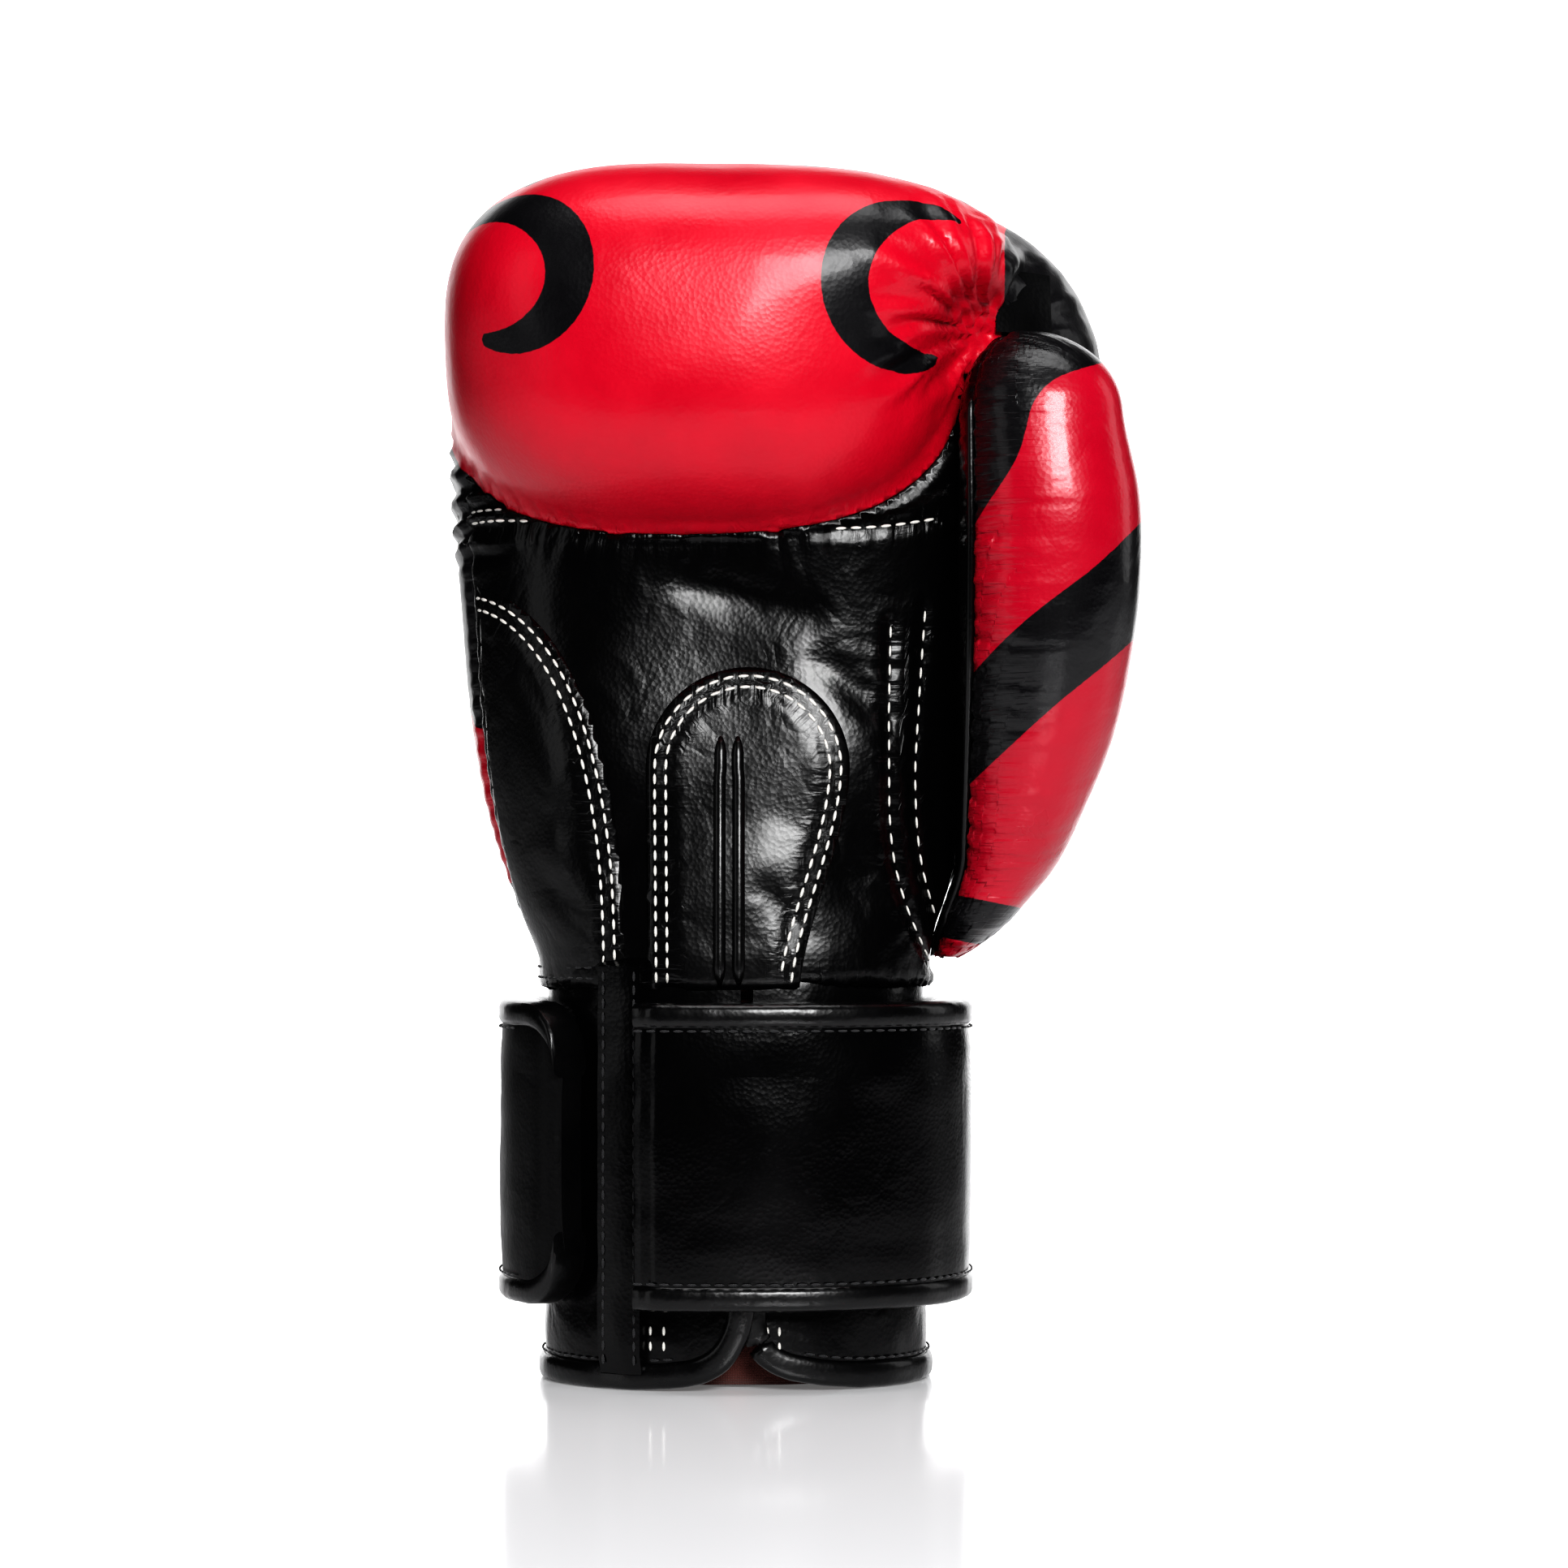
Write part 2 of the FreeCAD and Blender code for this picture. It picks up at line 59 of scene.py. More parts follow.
# Places of the CAD pieces that everything below is built from
fistLow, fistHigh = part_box("fist_cover")
cuffLow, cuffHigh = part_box("cuff_panel")
thumbLow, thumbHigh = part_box("thumb_cover")
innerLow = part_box("thumb_inner_panel")[0]
strapLow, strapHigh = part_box("strap_front_binding")
neckZ = fistLow.z
print("frame loaded")


# Small tools for meshes

def stage(text):
    print(f"{time.time() - clockStart:6.1f} s  {text}")


def glide(table, column, at):
    # smooth curve through one column of a table whose first column is the station
    xs = np.array([row[0] for row in table], float)
    ys = np.array([row[column] for row in table], float)
    slopes = np.gradient(ys, xs)
    at = float(min(max(at, xs[0]), xs[-1]))
    i = int(min(max(np.searchsorted(xs, at) - 1, 0), len(xs) - 2))
    h = xs[i + 1] - xs[i]
    t = (at - xs[i]) / h
    return float((2 * t**3 - 3 * t**2 + 1) * ys[i] + (t**3 - 2 * t**2 + t) * h * slopes[i]
                 + (3 * t**2 - 2 * t**3) * ys[i + 1] + (t**3 - t**2) * h * slopes[i + 1])


def ease(value, low, high):
    t = min(max((value - low) / (high - low), 0.0), 1.0)
    return t * t * (3 - 2 * t)


def ripple(point, size, seed=0.0):
    # soft noise from -1 to 1 whose bumps are about size across
    return noise.noise(Vector(point) / size + Vector((seed, -seed, 2 * seed)))


def ovalPoint(turn, left, right, front, back, power):
    c, s = math.cos(turn), math.sin(turn)
    x = math.copysign(abs(c) ** (2 / power), c) * (right - left) / 2 + (left + right) / 2
    y = math.copysign(abs(s) ** (2 / power), s) * (back - front) / 2 + (front + back) / 2
    return x, y


def tube(segments, levels, place, capStart=True, capEnd=True):
    # a circle extruded level by level, then every vertex put in place by place(turn, level)
    bm = bmesh.new()
    bmesh.ops.create_circle(bm, cap_ends=False, radius=1, segments=segments)
    first = edges = bm.edges[:]
    for _ in range(levels - 1):
        made = bmesh.ops.extrude_edge_only(bm, edges=edges)["geom"]
        verts = {g for g in made if isinstance(g, bmesh.types.BMVert)}
        edges = [g for g in made if isinstance(g, bmesh.types.BMEdge) and set(g.verts) <= verts]
        bmesh.ops.translate(bm, vec=(0, 0, 1), verts=list(verts))
    if capStart:
        bmesh.ops.contextual_create(bm, geom=first)
    if capEnd:
        bmesh.ops.contextual_create(bm, geom=edges)
    for v in bm.verts:
        v.co = place(math.atan2(v.co.y, v.co.x) % (2 * math.pi), int(round(v.co.z)))
    bmesh.ops.recalc_face_normals(bm, faces=bm.faces)
    return bm


def asObject(name, bm):
    mesh = bpy.data.meshes.new(name)
    bm.to_mesh(mesh)
    bm.free()
    obj = bpy.data.objects.new(name, mesh)
    bpy.context.scene.collection.objects.link(obj)
    return obj


def applied(obj):
    # the object's mesh with its modifiers applied, as a bmesh; the object is removed
    bpy.context.view_layer.update()
    mesh = bpy.data.meshes.new_from_object(obj.evaluated_get(bpy.context.evaluated_depsgraph_get()))
    bm = bmesh.new()
    bm.from_mesh(mesh)
    bpy.data.meshes.remove(mesh)
    bpy.data.objects.remove(obj)
    return bm


def fusedSkin(forms, voxel):
    # one closed skin round several closed forms
    whole = bmesh.new()
    for form in forms:
        piece = bpy.data.meshes.new("form")
        form.to_mesh(piece)
        form.free()
        whole.from_mesh(piece)
        bpy.data.meshes.remove(piece)
    obj = asObject("skin", whole)
    remesh = obj.modifiers.new("voxels", "REMESH")
    remesh.mode = "VOXEL"
    remesh.voxel_size = voxel
    return applied(obj)


def relax(bm, verts, times, factor=0.5):
    for _ in range(times):
        bmesh.ops.smooth_vert(bm, verts=verts, factor=factor,
                              use_axis_x=True, use_axis_y=True, use_axis_z=True)


def cutAlong(bm, field):
    # splits edges where field(co) changes sign, so that a panel's border is a clean line
    value = {}
    for v in bm.verts:
        f = field(v.co)
        value[v] = f if abs(f) > 1e-6 else 1e-6
    crossing = [e for e in bm.edges if value[e.verts[0]] * value[e.verts[1]] < 0]
    fresh = []
    for e in crossing:
        a, b = e.verts
        t = value[a] / (value[a] - value[b])
        fresh.append(bmesh.utils.edge_split(e, a, t)[1])
        value[fresh[-1]] = 0.0
    bmesh.ops.connect_verts(bm, verts=fresh)


def panelOf(bm, field, keepInside=True):
    # the faces of a copy where field is positive, or where it isn't
    part = bm.copy()
    cutAlong(part, field)
    part.normal_update()

    def isGone(face):
        middle = face.calc_center_median()
        neckCap = face.normal.z < -0.6 and middle.z < neckZ
        return (field(middle) > 0) != keepInside or neckCap

    bmesh.ops.delete(part, geom=[f for f in part.faces if isGone(f)], context="FACES")
    bmesh.ops.delete(part, geom=[v for v in part.verts if not v.link_faces], context="VERTS")
    return part


def runTree(points):
    # nearest-point lookup among pairs of a place and a running length
    tree = KDTree(max(len(points), 1))
    for i, (co, _) in enumerate(points):
        tree.insert(co, i)
    tree.balance()
    return tree, [run for _, run in points]


def borderTree(bm):
    # lookup of the nearest open border
    border = [e for e in bm.edges if len(e.link_faces) == 1]
    points = []
    left = dict.fromkeys(border)     # keeps its order, so that every run starts its borders at the same place
    while left:
        edge = next(iter(left))
        v, run = edge.verts[0], 0.0
        while edge is not None:
            left.pop(edge, None)
            other = edge.other_vert(v)
            points.append((v.co.copy(), run))
            points.append(((v.co + other.co) / 2, run + edge.calc_length() / 2))
            run += edge.calc_length()
            v = other
            edge = next((e for e in v.link_edges if e in left), None)
        points.append((v.co.copy(), run))
    return runTree(points)


def lineTree(lines):
    # lookup of the nearest of several lines of points
    points = []
    for line in lines:
        run = 0.0
        for i, p in enumerate(line):
            run += (p - line[i - 1]).length if i else 0.0
            points.append((p, run))
    return runTree(points)


def moveAlongNormals(bm, amount):
    bm.normal_update()
    amounts = [amount(v) for v in bm.verts] if callable(amount) else amount
    moves = [v.normal * a for v, a in zip(bm.verts, amounts)]
    for v, d in zip(bm.verts, moves):
        v.co += d


def setFloat(bm, name, values):
    # one number for each vertex, in the vertices' own order
    layer = bm.verts.layers.float.get(name) or bm.verts.layers.float.new(name)
    for v, value in zip(bm.verts, values):
        v[layer] = float(value)


def setSeam(bm, near, runs):
    # each vertex's distance to its nearest seam, and how far along the seam it is
    setFloat(bm, "seamDist", [n[2] for n in near])
    setFloat(bm, "seamAlong", [runs[n[1]] for n in near])


def finishPiece(name, bm, material, body, replaces=(), thick=0.0, blend=None, sharp=None):
    # gives an open panel its thickness, then hangs the piece on its body, or for a piece over a hinge bakes its place
    # in, and hides the parts it stands for
    bmesh.ops.dissolve_degenerate(bm, dist=1e-6, edges=bm.edges)
    for f in bm.faces:
        f.smooth = True
    if sharp:
        for e in bm.edges:
            if len(e.link_faces) == 2 and e.calc_face_angle(0) > math.radians(sharp):
                e.smooth = False
    obj = asObject(name, bm)
    if thick:
        shell = obj.modifiers.new("leather thickness", "SOLIDIFY")
        shell.thickness, shell.offset, shell.use_even_offset = thick, -1, False
        obj = asObject(name, applied(obj))
    obj.data.materials.append(material)
    if blend:
        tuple(blend[2])
        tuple(blend[3])
        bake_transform(obj)
    else:
        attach(obj, body)
    if replaces:
        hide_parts(*replaces)
    return obj


# Materials

def colour(hexValue):
    channels = [int(hexValue[i:i + 2], 16) / 255 for i in (1, 3, 5)]
    return [c / 12.92 if c <= 0.04045 else ((c + 0.055) / 1.055) ** 2.4 for c in channels] + [1.0]


def addNode(tree, kind, settings=None, inputs=None, links=None):
    node = tree.nodes.new(kind)
    for key, value in (settings or {}).items():
        setattr(node, key, value)
    for key, value in (inputs or {}).items():
        node.inputs[key].default_value = value
    for key, source in (links or {}).items():
        tree.links.new(source, node.inputs[key])
    return node


def combine(tree, operation, first, second):
    # one arithmetic step between two sockets, or a socket and a number
    node = addNode(tree, "ShaderNodeMath", {"operation": operation})
    for i, value in enumerate((first, second)):
        if isinstance(value, (int, float)):
            node.inputs[i].default_value = value
        else:
            tree.links.new(value, node.inputs[i])
    return node.outputs[0]


def newMaterial(name, settings):
    mat = bpy.data.materials.new(name)
    mat.use_nodes = True
    tree = mat.node_tree
    shader = tree.nodes["Principled BSDF"]
    for key, value in settings.items():
        shader.inputs[key].default_value = value
    return mat, tree, shader


def useHeight(tree, shader, height):
    bump = addNode(tree, "ShaderNodeBump", {}, {"Strength": 1.0, "Distance": 1.0}, {"Height": height})
    tree.links.new(bump.outputs[0], shader.inputs["Normal"])


def useColour(tree, shader, flat, tone):
    # the colour, a socket or a hex value, made darker and lighter by tone
    if isinstance(flat, str):
        paint = addNode(tree, "ShaderNodeRGB").outputs[0]
        paint.default_value = colour(flat)
        flat = paint
    shade = addNode(tree, "ShaderNodeVectorMath", {"operation": "SCALE"}, {}, {0: flat, "Scale": tone})
    tree.links.new(shade.outputs[0], shader.inputs["Base Color"])


def mapTo(tree, value, low, high, toLow, toHigh):
    # a value from low to high, mapped to toLow to toHigh
    node = addNode(tree, "ShaderNodeMapRange", {},
                   {"From Min": low, "From Max": high, "To Min": toLow, "To Max": toHigh}, {"Value": value})
    return node.outputs[0]


leather = {
    "grainSize": 1.1 * mm,      # pebble of the coated grain, drawn a little coarse so that it shows
    "grainDepth": 0.045 * mm,
    "creaseSize": 15 * mm,      # soft handling creases
    "creaseDepth": 0.30 * mm,
    "puckerPitch": 4.2 * mm,    # small gathers that a seam pulls into the leather
    "puckerDepth": 0.32 * mm,
    "puckerReach": 7 * mm,
    "patchSize": 28 * mm,       # patches that handling has dulled
}


def leatherMaterial(name, base, rough, crease=1.0, pucker=1.0, grain=1.0, printed=None, coat=0.0, shine=0.36,
                    reach=None):
    # polyurethane-coated leather: a clear glossy skin over a fine pebbled grain
    mat, tree, shader = newMaterial(name, {"Roughness": rough, "IOR": 1.5, "Specular IOR Level": shine,
                                           "Coat Weight": coat, "Coat Roughness": 0.12})
    where = addNode(tree, "ShaderNodeTexCoord").outputs["Object"]
    pebble = addNode(tree, "ShaderNodeTexVoronoi", {"feature": "F1"},
                     {"Scale": 1 / leather["grainSize"], "Randomness": 1.0}, {"Vector": where})
    soft = addNode(tree, "ShaderNodeTexNoise", {},
                   {"Scale": 1 / leather["creaseSize"], "Detail": 1.5, "Roughness": 0.5, "Distortion": 0.8},
                   {"Vector": where})
    ridge = addNode(tree, "ShaderNodeMath", {"operation": "ABSOLUTE"}, {},
                    {0: combine(tree, "SUBTRACT", soft.outputs["Fac"], 0.5)}).outputs[0]
    height = combine(tree, "ADD", combine(tree, "MULTIPLY", ridge, leather["creaseDepth"] * crease * 2),
                     combine(tree, "MULTIPLY", pebble.outputs["Distance"], leather["grainDepth"] * grain))
    if pucker:
        # small gathers that run away from the nearest seam and fade with the distance to it
        along = addNode(tree, "ShaderNodeAttribute", {"attribute_name": "seamAlong"}).outputs["Fac"]
        away = addNode(tree, "ShaderNodeAttribute", {"attribute_name": "seamDist"}).outputs["Fac"]
        grid = addNode(tree, "ShaderNodeCombineXYZ", {}, {}, {
            0: combine(tree, "DIVIDE", along, leather["puckerPitch"]),
            1: combine(tree, "DIVIDE", away, leather["puckerPitch"] * 5)})
        fold = addNode(tree, "ShaderNodeTexNoise", {"noise_dimensions": "2D"},
                       {"Scale": 1.6, "Detail": 2.0, "Roughness": 0.5, "Distortion": 0.3},
                       {"Vector": grid.outputs[0]})
        fade = addNode(tree, "ShaderNodeMapRange", {"interpolation_type": "SMOOTHSTEP"},
                       {"From Min": reach or leather["puckerReach"], "From Max": 0.0, "To Min": 0.0,
                        "To Max": leather["puckerDepth"] * 2 * pucker}, {"Value": away})
        height = combine(tree, "ADD", height, combine(tree, "MULTIPLY", fold.outputs["Fac"], fade.outputs[0]))
    useHeight(tree, shader, height)
    # gloss is uneven: handling dulls it in soft patches
    patch = addNode(tree, "ShaderNodeTexNoise", {},
                    {"Scale": 1 / leather["patchSize"], "Detail": 4.0, "Roughness": 0.6},
                    {"Vector": where}).outputs["Fac"]
    gloss = mapTo(tree, patch, 0.3, 0.7, rough * 0.82, rough * 1.25)
    tree.links.new(gloss, shader.inputs["Roughness"])
    flat = base
    if printed:
        ink = addNode(tree, "ShaderNodeAttribute", {"attribute_name": "inkDist"}).outputs["Fac"]
        wobble = addNode(tree, "ShaderNodeTexNoise", {}, {"Scale": 1 / (1.5 * mm), "Detail": 2.0}, {"Vector": where})
        edge = combine(tree, "SUBTRACT", combine(tree, "MULTIPLY", wobble.outputs["Fac"], 0.35 * mm), 0.17 * mm)
        mask = addNode(tree, "ShaderNodeMapRange", {"interpolation_type": "SMOOTHSTEP"},
                       {"From Min": -0.12 * mm, "From Max": 0.12 * mm}, {"Value": combine(tree, "ADD", ink, edge)})
        flat = addNode(tree, "ShaderNodeMix", {"data_type": "RGBA"}, {6: colour(base), 7: colour(printed)},
                       {0: mask.outputs[0]}).outputs[2]
    useColour(tree, shader, flat, mapTo(tree, patch, 0.3, 0.7, 0.9, 1.08))
    return mat


printedLeather = leatherMaterial("printedCoatedLeather", "#c6022a", 0.36, 0.3, 1.0, printed="#0e0d10", coat=0.12)
thumbLeather = leatherMaterial("printedThumbLeather", "#ae0228", 0.31, 0.9, 2.4, printed="#0b0a0d", coat=0.25,
                               reach=24 * mm)
palmLeather = leatherMaterial("glossyBlackLeather", "#050506", 0.24, 1.0, 1.0, coat=0.16, shine=0.22)
patchLeather = leatherMaterial("blackPatchLeather", "#060607", 0.26, 0.9, 0.8, coat=0.2, shine=0.3)
strapLeather = leatherMaterial("blackStrapLeather", "#040405", 0.22, 0.4, 0.0, coat=0.14, shine=0.2)
tabLeather = leatherMaterial("blackTabLeather", "#030304", 0.4, 0.4, 0.0, shine=0.22)
pipingLeather = leatherMaterial("blackBindingLeather", "#060607", 0.28, 0.2, 0.0, coat=0.2, grain=0.8)


def threadMaterial(name, base):
    # bonded polyester thread: matt, with the twist of its three plies, and painted shade that darkens the colour in
    # the grooves between them
    mat, tree, shader = newMaterial(name, {"Roughness": 0.62, "IOR": 1.5, "Sheen Weight": 0.2})
    where = addNode(tree, "ShaderNodeTexCoord").outputs["Object"]
    twist = addNode(tree, "ShaderNodeTexWave", {"wave_type": "BANDS", "bands_direction": "DIAGONAL"},
                    {"Scale": 1 / (0.9 * mm), "Distortion": 0.4}, {"Vector": where}).outputs["Fac"]
    useHeight(tree, shader, combine(tree, "MULTIPLY", twist, 0.06 * mm))
    # painted shade: the colour is darker in the grooves between the plies, lighter on their tops
    useColour(tree, shader, base, mapTo(tree, twist, 0.0, 1.0, 0.8, 1.0))
    return mat


whiteThread = threadMaterial("whiteThread", "#eeece6")
blackThread = threadMaterial("blackThread", "#1c1c1f")


def clothMaterial(name, base, spacing, depth, rough=0.85, sheen=0.3):
    # woven or knitted cloth: two crossed waves at the thread spacing, with painted shade in the weave's hollows and
    # painted light on its raised crossings
    mat, tree, shader = newMaterial(name, {"Roughness": rough, "IOR": 1.45, "Sheen Weight": sheen,
                                           "Sheen Roughness": 0.5})
    where = addNode(tree, "ShaderNodeTexCoord").outputs["Object"]
    weave = [addNode(tree, "ShaderNodeTexWave", {"wave_type": "BANDS", "bands_direction": direction},
                     {"Scale": 1 / spacing / 3.14, "Distortion": 0.6, "Detail": 1.0},
                     {"Vector": where}).outputs["Fac"]
             for direction in ("X", "Z")]
    both = combine(tree, "MULTIPLY", weave[0], weave[1])
    useHeight(tree, shader, combine(tree, "MULTIPLY", both, depth))
    # painted shade and painted light: the colour is darker in the weave's hollows and lighter where the threads cross
    # on top
    useColour(tree, shader, base, mapTo(tree, both, 0.0, 1.0, 0.7, 1.1))
    return mat


liningCloth = clothMaterial("wovenLiningCloth", "#5a2a22", 0.6 * mm, 0.12 * mm)
loopPile = clothMaterial("loopPile", "#19191b", 0.9 * mm, 0.5 * mm, rough=0.95, sheen=0.6)
hookTape = clothMaterial("hookTape", "#151517", 1.3 * mm, 0.6 * mm, rough=0.5, sheen=0.1)
foamSkin = clothMaterial("closedCellFoam", "#3a3a3d", 0.8 * mm, 0.1 * mm, rough=0.9, sheen=0.0)


def giveMaterial(node, mat):
    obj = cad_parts[node]
    obj.data.materials.clear()
    obj.data.materials.append(mat)


# The cuff's oval, which the strap and the bindings follow

cuff = {
    "power": 2.3,
    "halfWidth": (cuffHigh.x - cuffLow.x) / 2,
    "halfDepth": cuffHigh.y,
}


def cuffPoint(degrees, offset, z):
    a, b = cuff["halfWidth"] + offset, cuff["halfDepth"] + offset
    c, s = math.cos(math.radians(degrees)), math.sin(math.radians(degrees))
    r = ((abs(c) / a) ** cuff["power"] + (abs(s) / b) ** cuff["power"]) ** (-1 / cuff["power"])
    return Vector((r * c, r * s, z))


# Fist: back of the hand, knuckles and finger roll in one skin

fist = {
    # share of the way from neck to shoulder, then how far the little-finger side, thumb side and back have grown
    "growth": [
        (-0.1, 0.0, 0.045, 0.0),
        (0.0, 0.02, 0.065, 0.0),
        (0.08, 0.24, 0.13, 0.16),
        (0.20, 0.50, 0.22, 0.38),
        (0.42, 0.76, 0.34, 0.70),
        (0.64, 0.90, 0.50, 0.92),
        (0.82, 0.97, 0.72, 1.00),
        (1.00, 1.00, 1.00, 1.00),
    ],
    "shoulder": 0.70,        # share of the height where the dome starts
    "palmFace": 34 * mm,
    "domePower": 2.6,
    "rollCentre": Vector((-8 * mm, -2.5 * mm, 252.0 * mm)),
    "rollHalf": Vector((64 * mm, 64.5 * mm, 46.5 * mm)),
    "rollPowers": (2.5, 3.1),       # its lower half is rounder than its upper half
    "rollSpread": 18 * mm,          # above the thumb's tip it goes on this much further
    "voxel": 1.6 * mm,
}


def coreForm():
    side, face = cuff["halfWidth"] + 0.5 * mm, cuff["halfDepth"]
    shoulderZ = neckZ + fist["shoulder"] * (fistHigh.z - neckZ)
    rows, domeRows = 40, 22

    def place(turn, level):
        if level < rows:
            share = -0.06 + 1.06 * level / (rows - 1)
            z = neckZ + share * (shoulderZ - neckZ)
            scale = 1.0
        else:
            share = 1.0
            up = math.radians(89.0 * (level - rows + 1) / domeRows)
            scale = math.cos(up) ** (2 / fist["domePower"])
            z = shoulderZ + (fistHigh.z - shoulderZ) * math.sin(up) ** (2 / fist["domePower"])
        left = -(side + glide(fist["growth"], 1, share) * (-fistLow.x - side))
        right = side + glide(fist["growth"], 2, share) * (fistHigh.x - side)
        back = face + glide(fist["growth"], 3, share) * (fistHigh.y - face)
        front = -(face + min(1.0, max(share, 0) * 4) * (fist["palmFace"] - face))
        midX, midY = (left + right) / 2, (front + back) / 2
        x, y = ovalPoint(turn, left, right, front, back, 2.5)
        return Vector((midX + (x - midX) * scale, midY + (y - midY) * scale, z))

    return tube(96, rows + domeRows, place)


def rollRho(co):
    # 1 on the finger roll's surface, more outside it
    d = co - fist["rollCentre"]
    low, high = fist["rollPowers"]
    p = low + (high - low) * ease(d.z, -10 * mm, 15 * mm)
    halfX = fist["rollHalf"].x + (fist["rollSpread"] * ease(d.z, 2 * mm, 22 * mm) if d.x > 0 else 0.0)
    return ((abs(d.x) / halfX) ** p + (abs(d.y) / fist["rollHalf"].y) ** p
            + (abs(d.z) / fist["rollHalf"].z) ** p) ** (1 / p)


def rollForm():
    bm = bmesh.new()
    bmesh.ops.create_icosphere(bm, subdivisions=5, radius=1.0)
    for v in bm.verts:
        out = v.co.normalized()
        near, far = 20 * mm, 130 * mm
        for _ in range(16):
            middle = (near + far) / 2
            near, far = (middle, far) if rollRho(fist["rollCentre"] + out * middle) < 1 else (near, middle)
        v.co = fist["rollCentre"] + out * near
    return bm


# Thumb: a tube whose columns follow its seams

thumb = {
    "growth": [  # share of its height, then width, reach to the front, and how far its back has shifted
        (0.00, 0.12, 0.18, 0.00),
        (0.035, 0.31, 0.36, 0.00),
        (0.12, 0.50, 0.52, 0.02),
        (0.30, 0.79, 0.74, 0.22),
        (0.50, 0.965, 0.92, 0.56),
        (0.70, 1.00, 1.00, 0.82),
        (0.86, 0.90, 0.98, 1.00),
    ],
    "power": 2.2,
    "tipShare": 0.86,
    "backAtBase": 8 * mm,
    "backAtTip": -17 * mm,
    "footDrop": 2.6 * mm,      # its foot meets the palm's corner over the strap
    "footReach": 6.2 * mm,
    "foldPitch": 6.4 * mm,
    "foldHeight": 0.75 * mm,
    "fineFoldPitch": 3.1 * mm,
    "fineFoldHeight": 0.3 * mm,
    "foldReach": 10 * mm,      # how far from a seam its folds have faded
    "backFolds": 0.3,          # how strong the folds at its hidden seam are, beside those at the piping
    "crown": 0.33 * mm,        # how much it swells between its seams
    "groove": 1.0 * mm,        # how deep its seams lie
    "columns": 132,
    "rows": 104,
    "domeRows": 26,            # the last of them, which close the tip
    "seamTurns": (math.radians(205), math.radians(75)),   # piping in front, hidden seam at the back
}


def thumbLeft(share):
    return innerLow.x + 0.4 * mm - thumb["footReach"] * (1 - ease(share, 0.0, 0.17))


def thumbPlace(turn, share, tipTurn=None):
    base, tip = innerLow.z - thumb["footDrop"], thumbHigh.z + 0.8 * mm
    left, width = thumbLeft(share), thumbHigh.x - innerLow.x - 0.4 * mm
    share = min(share, thumb["tipShare"])
    right = left + glide(thumb["growth"], 1, share) * width
    front = thumbLow.y * glide(thumb["growth"], 2, share)
    back = thumb["backAtBase"] + glide(thumb["growth"], 3, share) * (thumb["backAtTip"] - thumb["backAtBase"])
    z = base + share * (tip - base)
    x, y = ovalPoint(turn, left, right, front, back, thumb["power"])
    if tipTurn is not None:
        midX, midY = (left + right) / 2, (front + back) / 2
        # the tip leans towards the fist as it closes
        lean = (1 - math.cos(tipTurn)) * Vector((-5 * mm, 4 * mm))
        x = midX + (x - midX) * math.cos(tipTurn) + lean.x
        y = midY + (y - midY) * math.cos(tipTurn) + lean.y
        z = z + (tip - z) * math.sin(tipTurn)
    return Vector((x, y, z))


def thumbRow(turn, level):
    # a straight part up to the tip's share, then a dome
    straight = thumb["rows"] - thumb["domeRows"]
    if level < straight:
        return thumbPlace(turn, thumb["tipShare"] * level / (straight - 1))
    return thumbPlace(turn, 1.0, math.radians(89.2 * (level - straight + 1) / thumb["domeRows"]))


def pressAway(bm, bvh, gap):
    # vertices that lie inside the thumb, or too near it, are pushed out to its surface
    moved = []
    foot = innerLow.z - thumb["footDrop"]
    for v in bm.verts:
        if v.co.z < foot + 20 * mm:
            wall = thumbLeft(max(v.co.z - foot, 0.0) / (thumbHigh.z - foot)) - gap
            if v.co.x > wall and v.co.z > foot - 2 * mm:
                v.co.x = wall
                moved.append(v)
            continue
        spot, normal, _, dist = bvh.find_nearest(v.co, 30 * mm)
        if spot is None:
            continue
        inside = (v.co - spot).dot(normal) < 0
        if inside or dist < gap:
            v.co = spot + normal * gap
            moved.append(v)
    return moved


stage("forms")
thumbSkin = tube(thumb["columns"], thumb["rows"], thumbRow)
thumbBvh = BVHTree.FromBMesh(thumbSkin)
fistSkin = fusedSkin([coreForm(), rollForm()], fist["voxel"])
relax(fistSkin, fistSkin.verts, 6)
overThumb = [v for v in fistSkin.verts if v.co.x > 34 * mm and v.co.z > 250 * mm and v.co.y < 12 * mm]
relax(fistSkin, overThumb, 30)
knuckles = [v for v in fistSkin.verts if v.co.z > 262 * mm and 0 < v.co.y < 60 * mm]
relax(fistSkin, knuckles, 20)
for _ in range(3):
    near = pressAway(fistSkin, thumbBvh, 0.5 * mm)
    ring = {w for v in near for e in v.link_edges for w in e.verts}
    relax(fistSkin, list(ring), 2, 0.4)
pressAway(fistSkin, thumbBvh, 0.35 * mm)
stage(f"fist skin, {len(fistSkin.verts)} vertices")

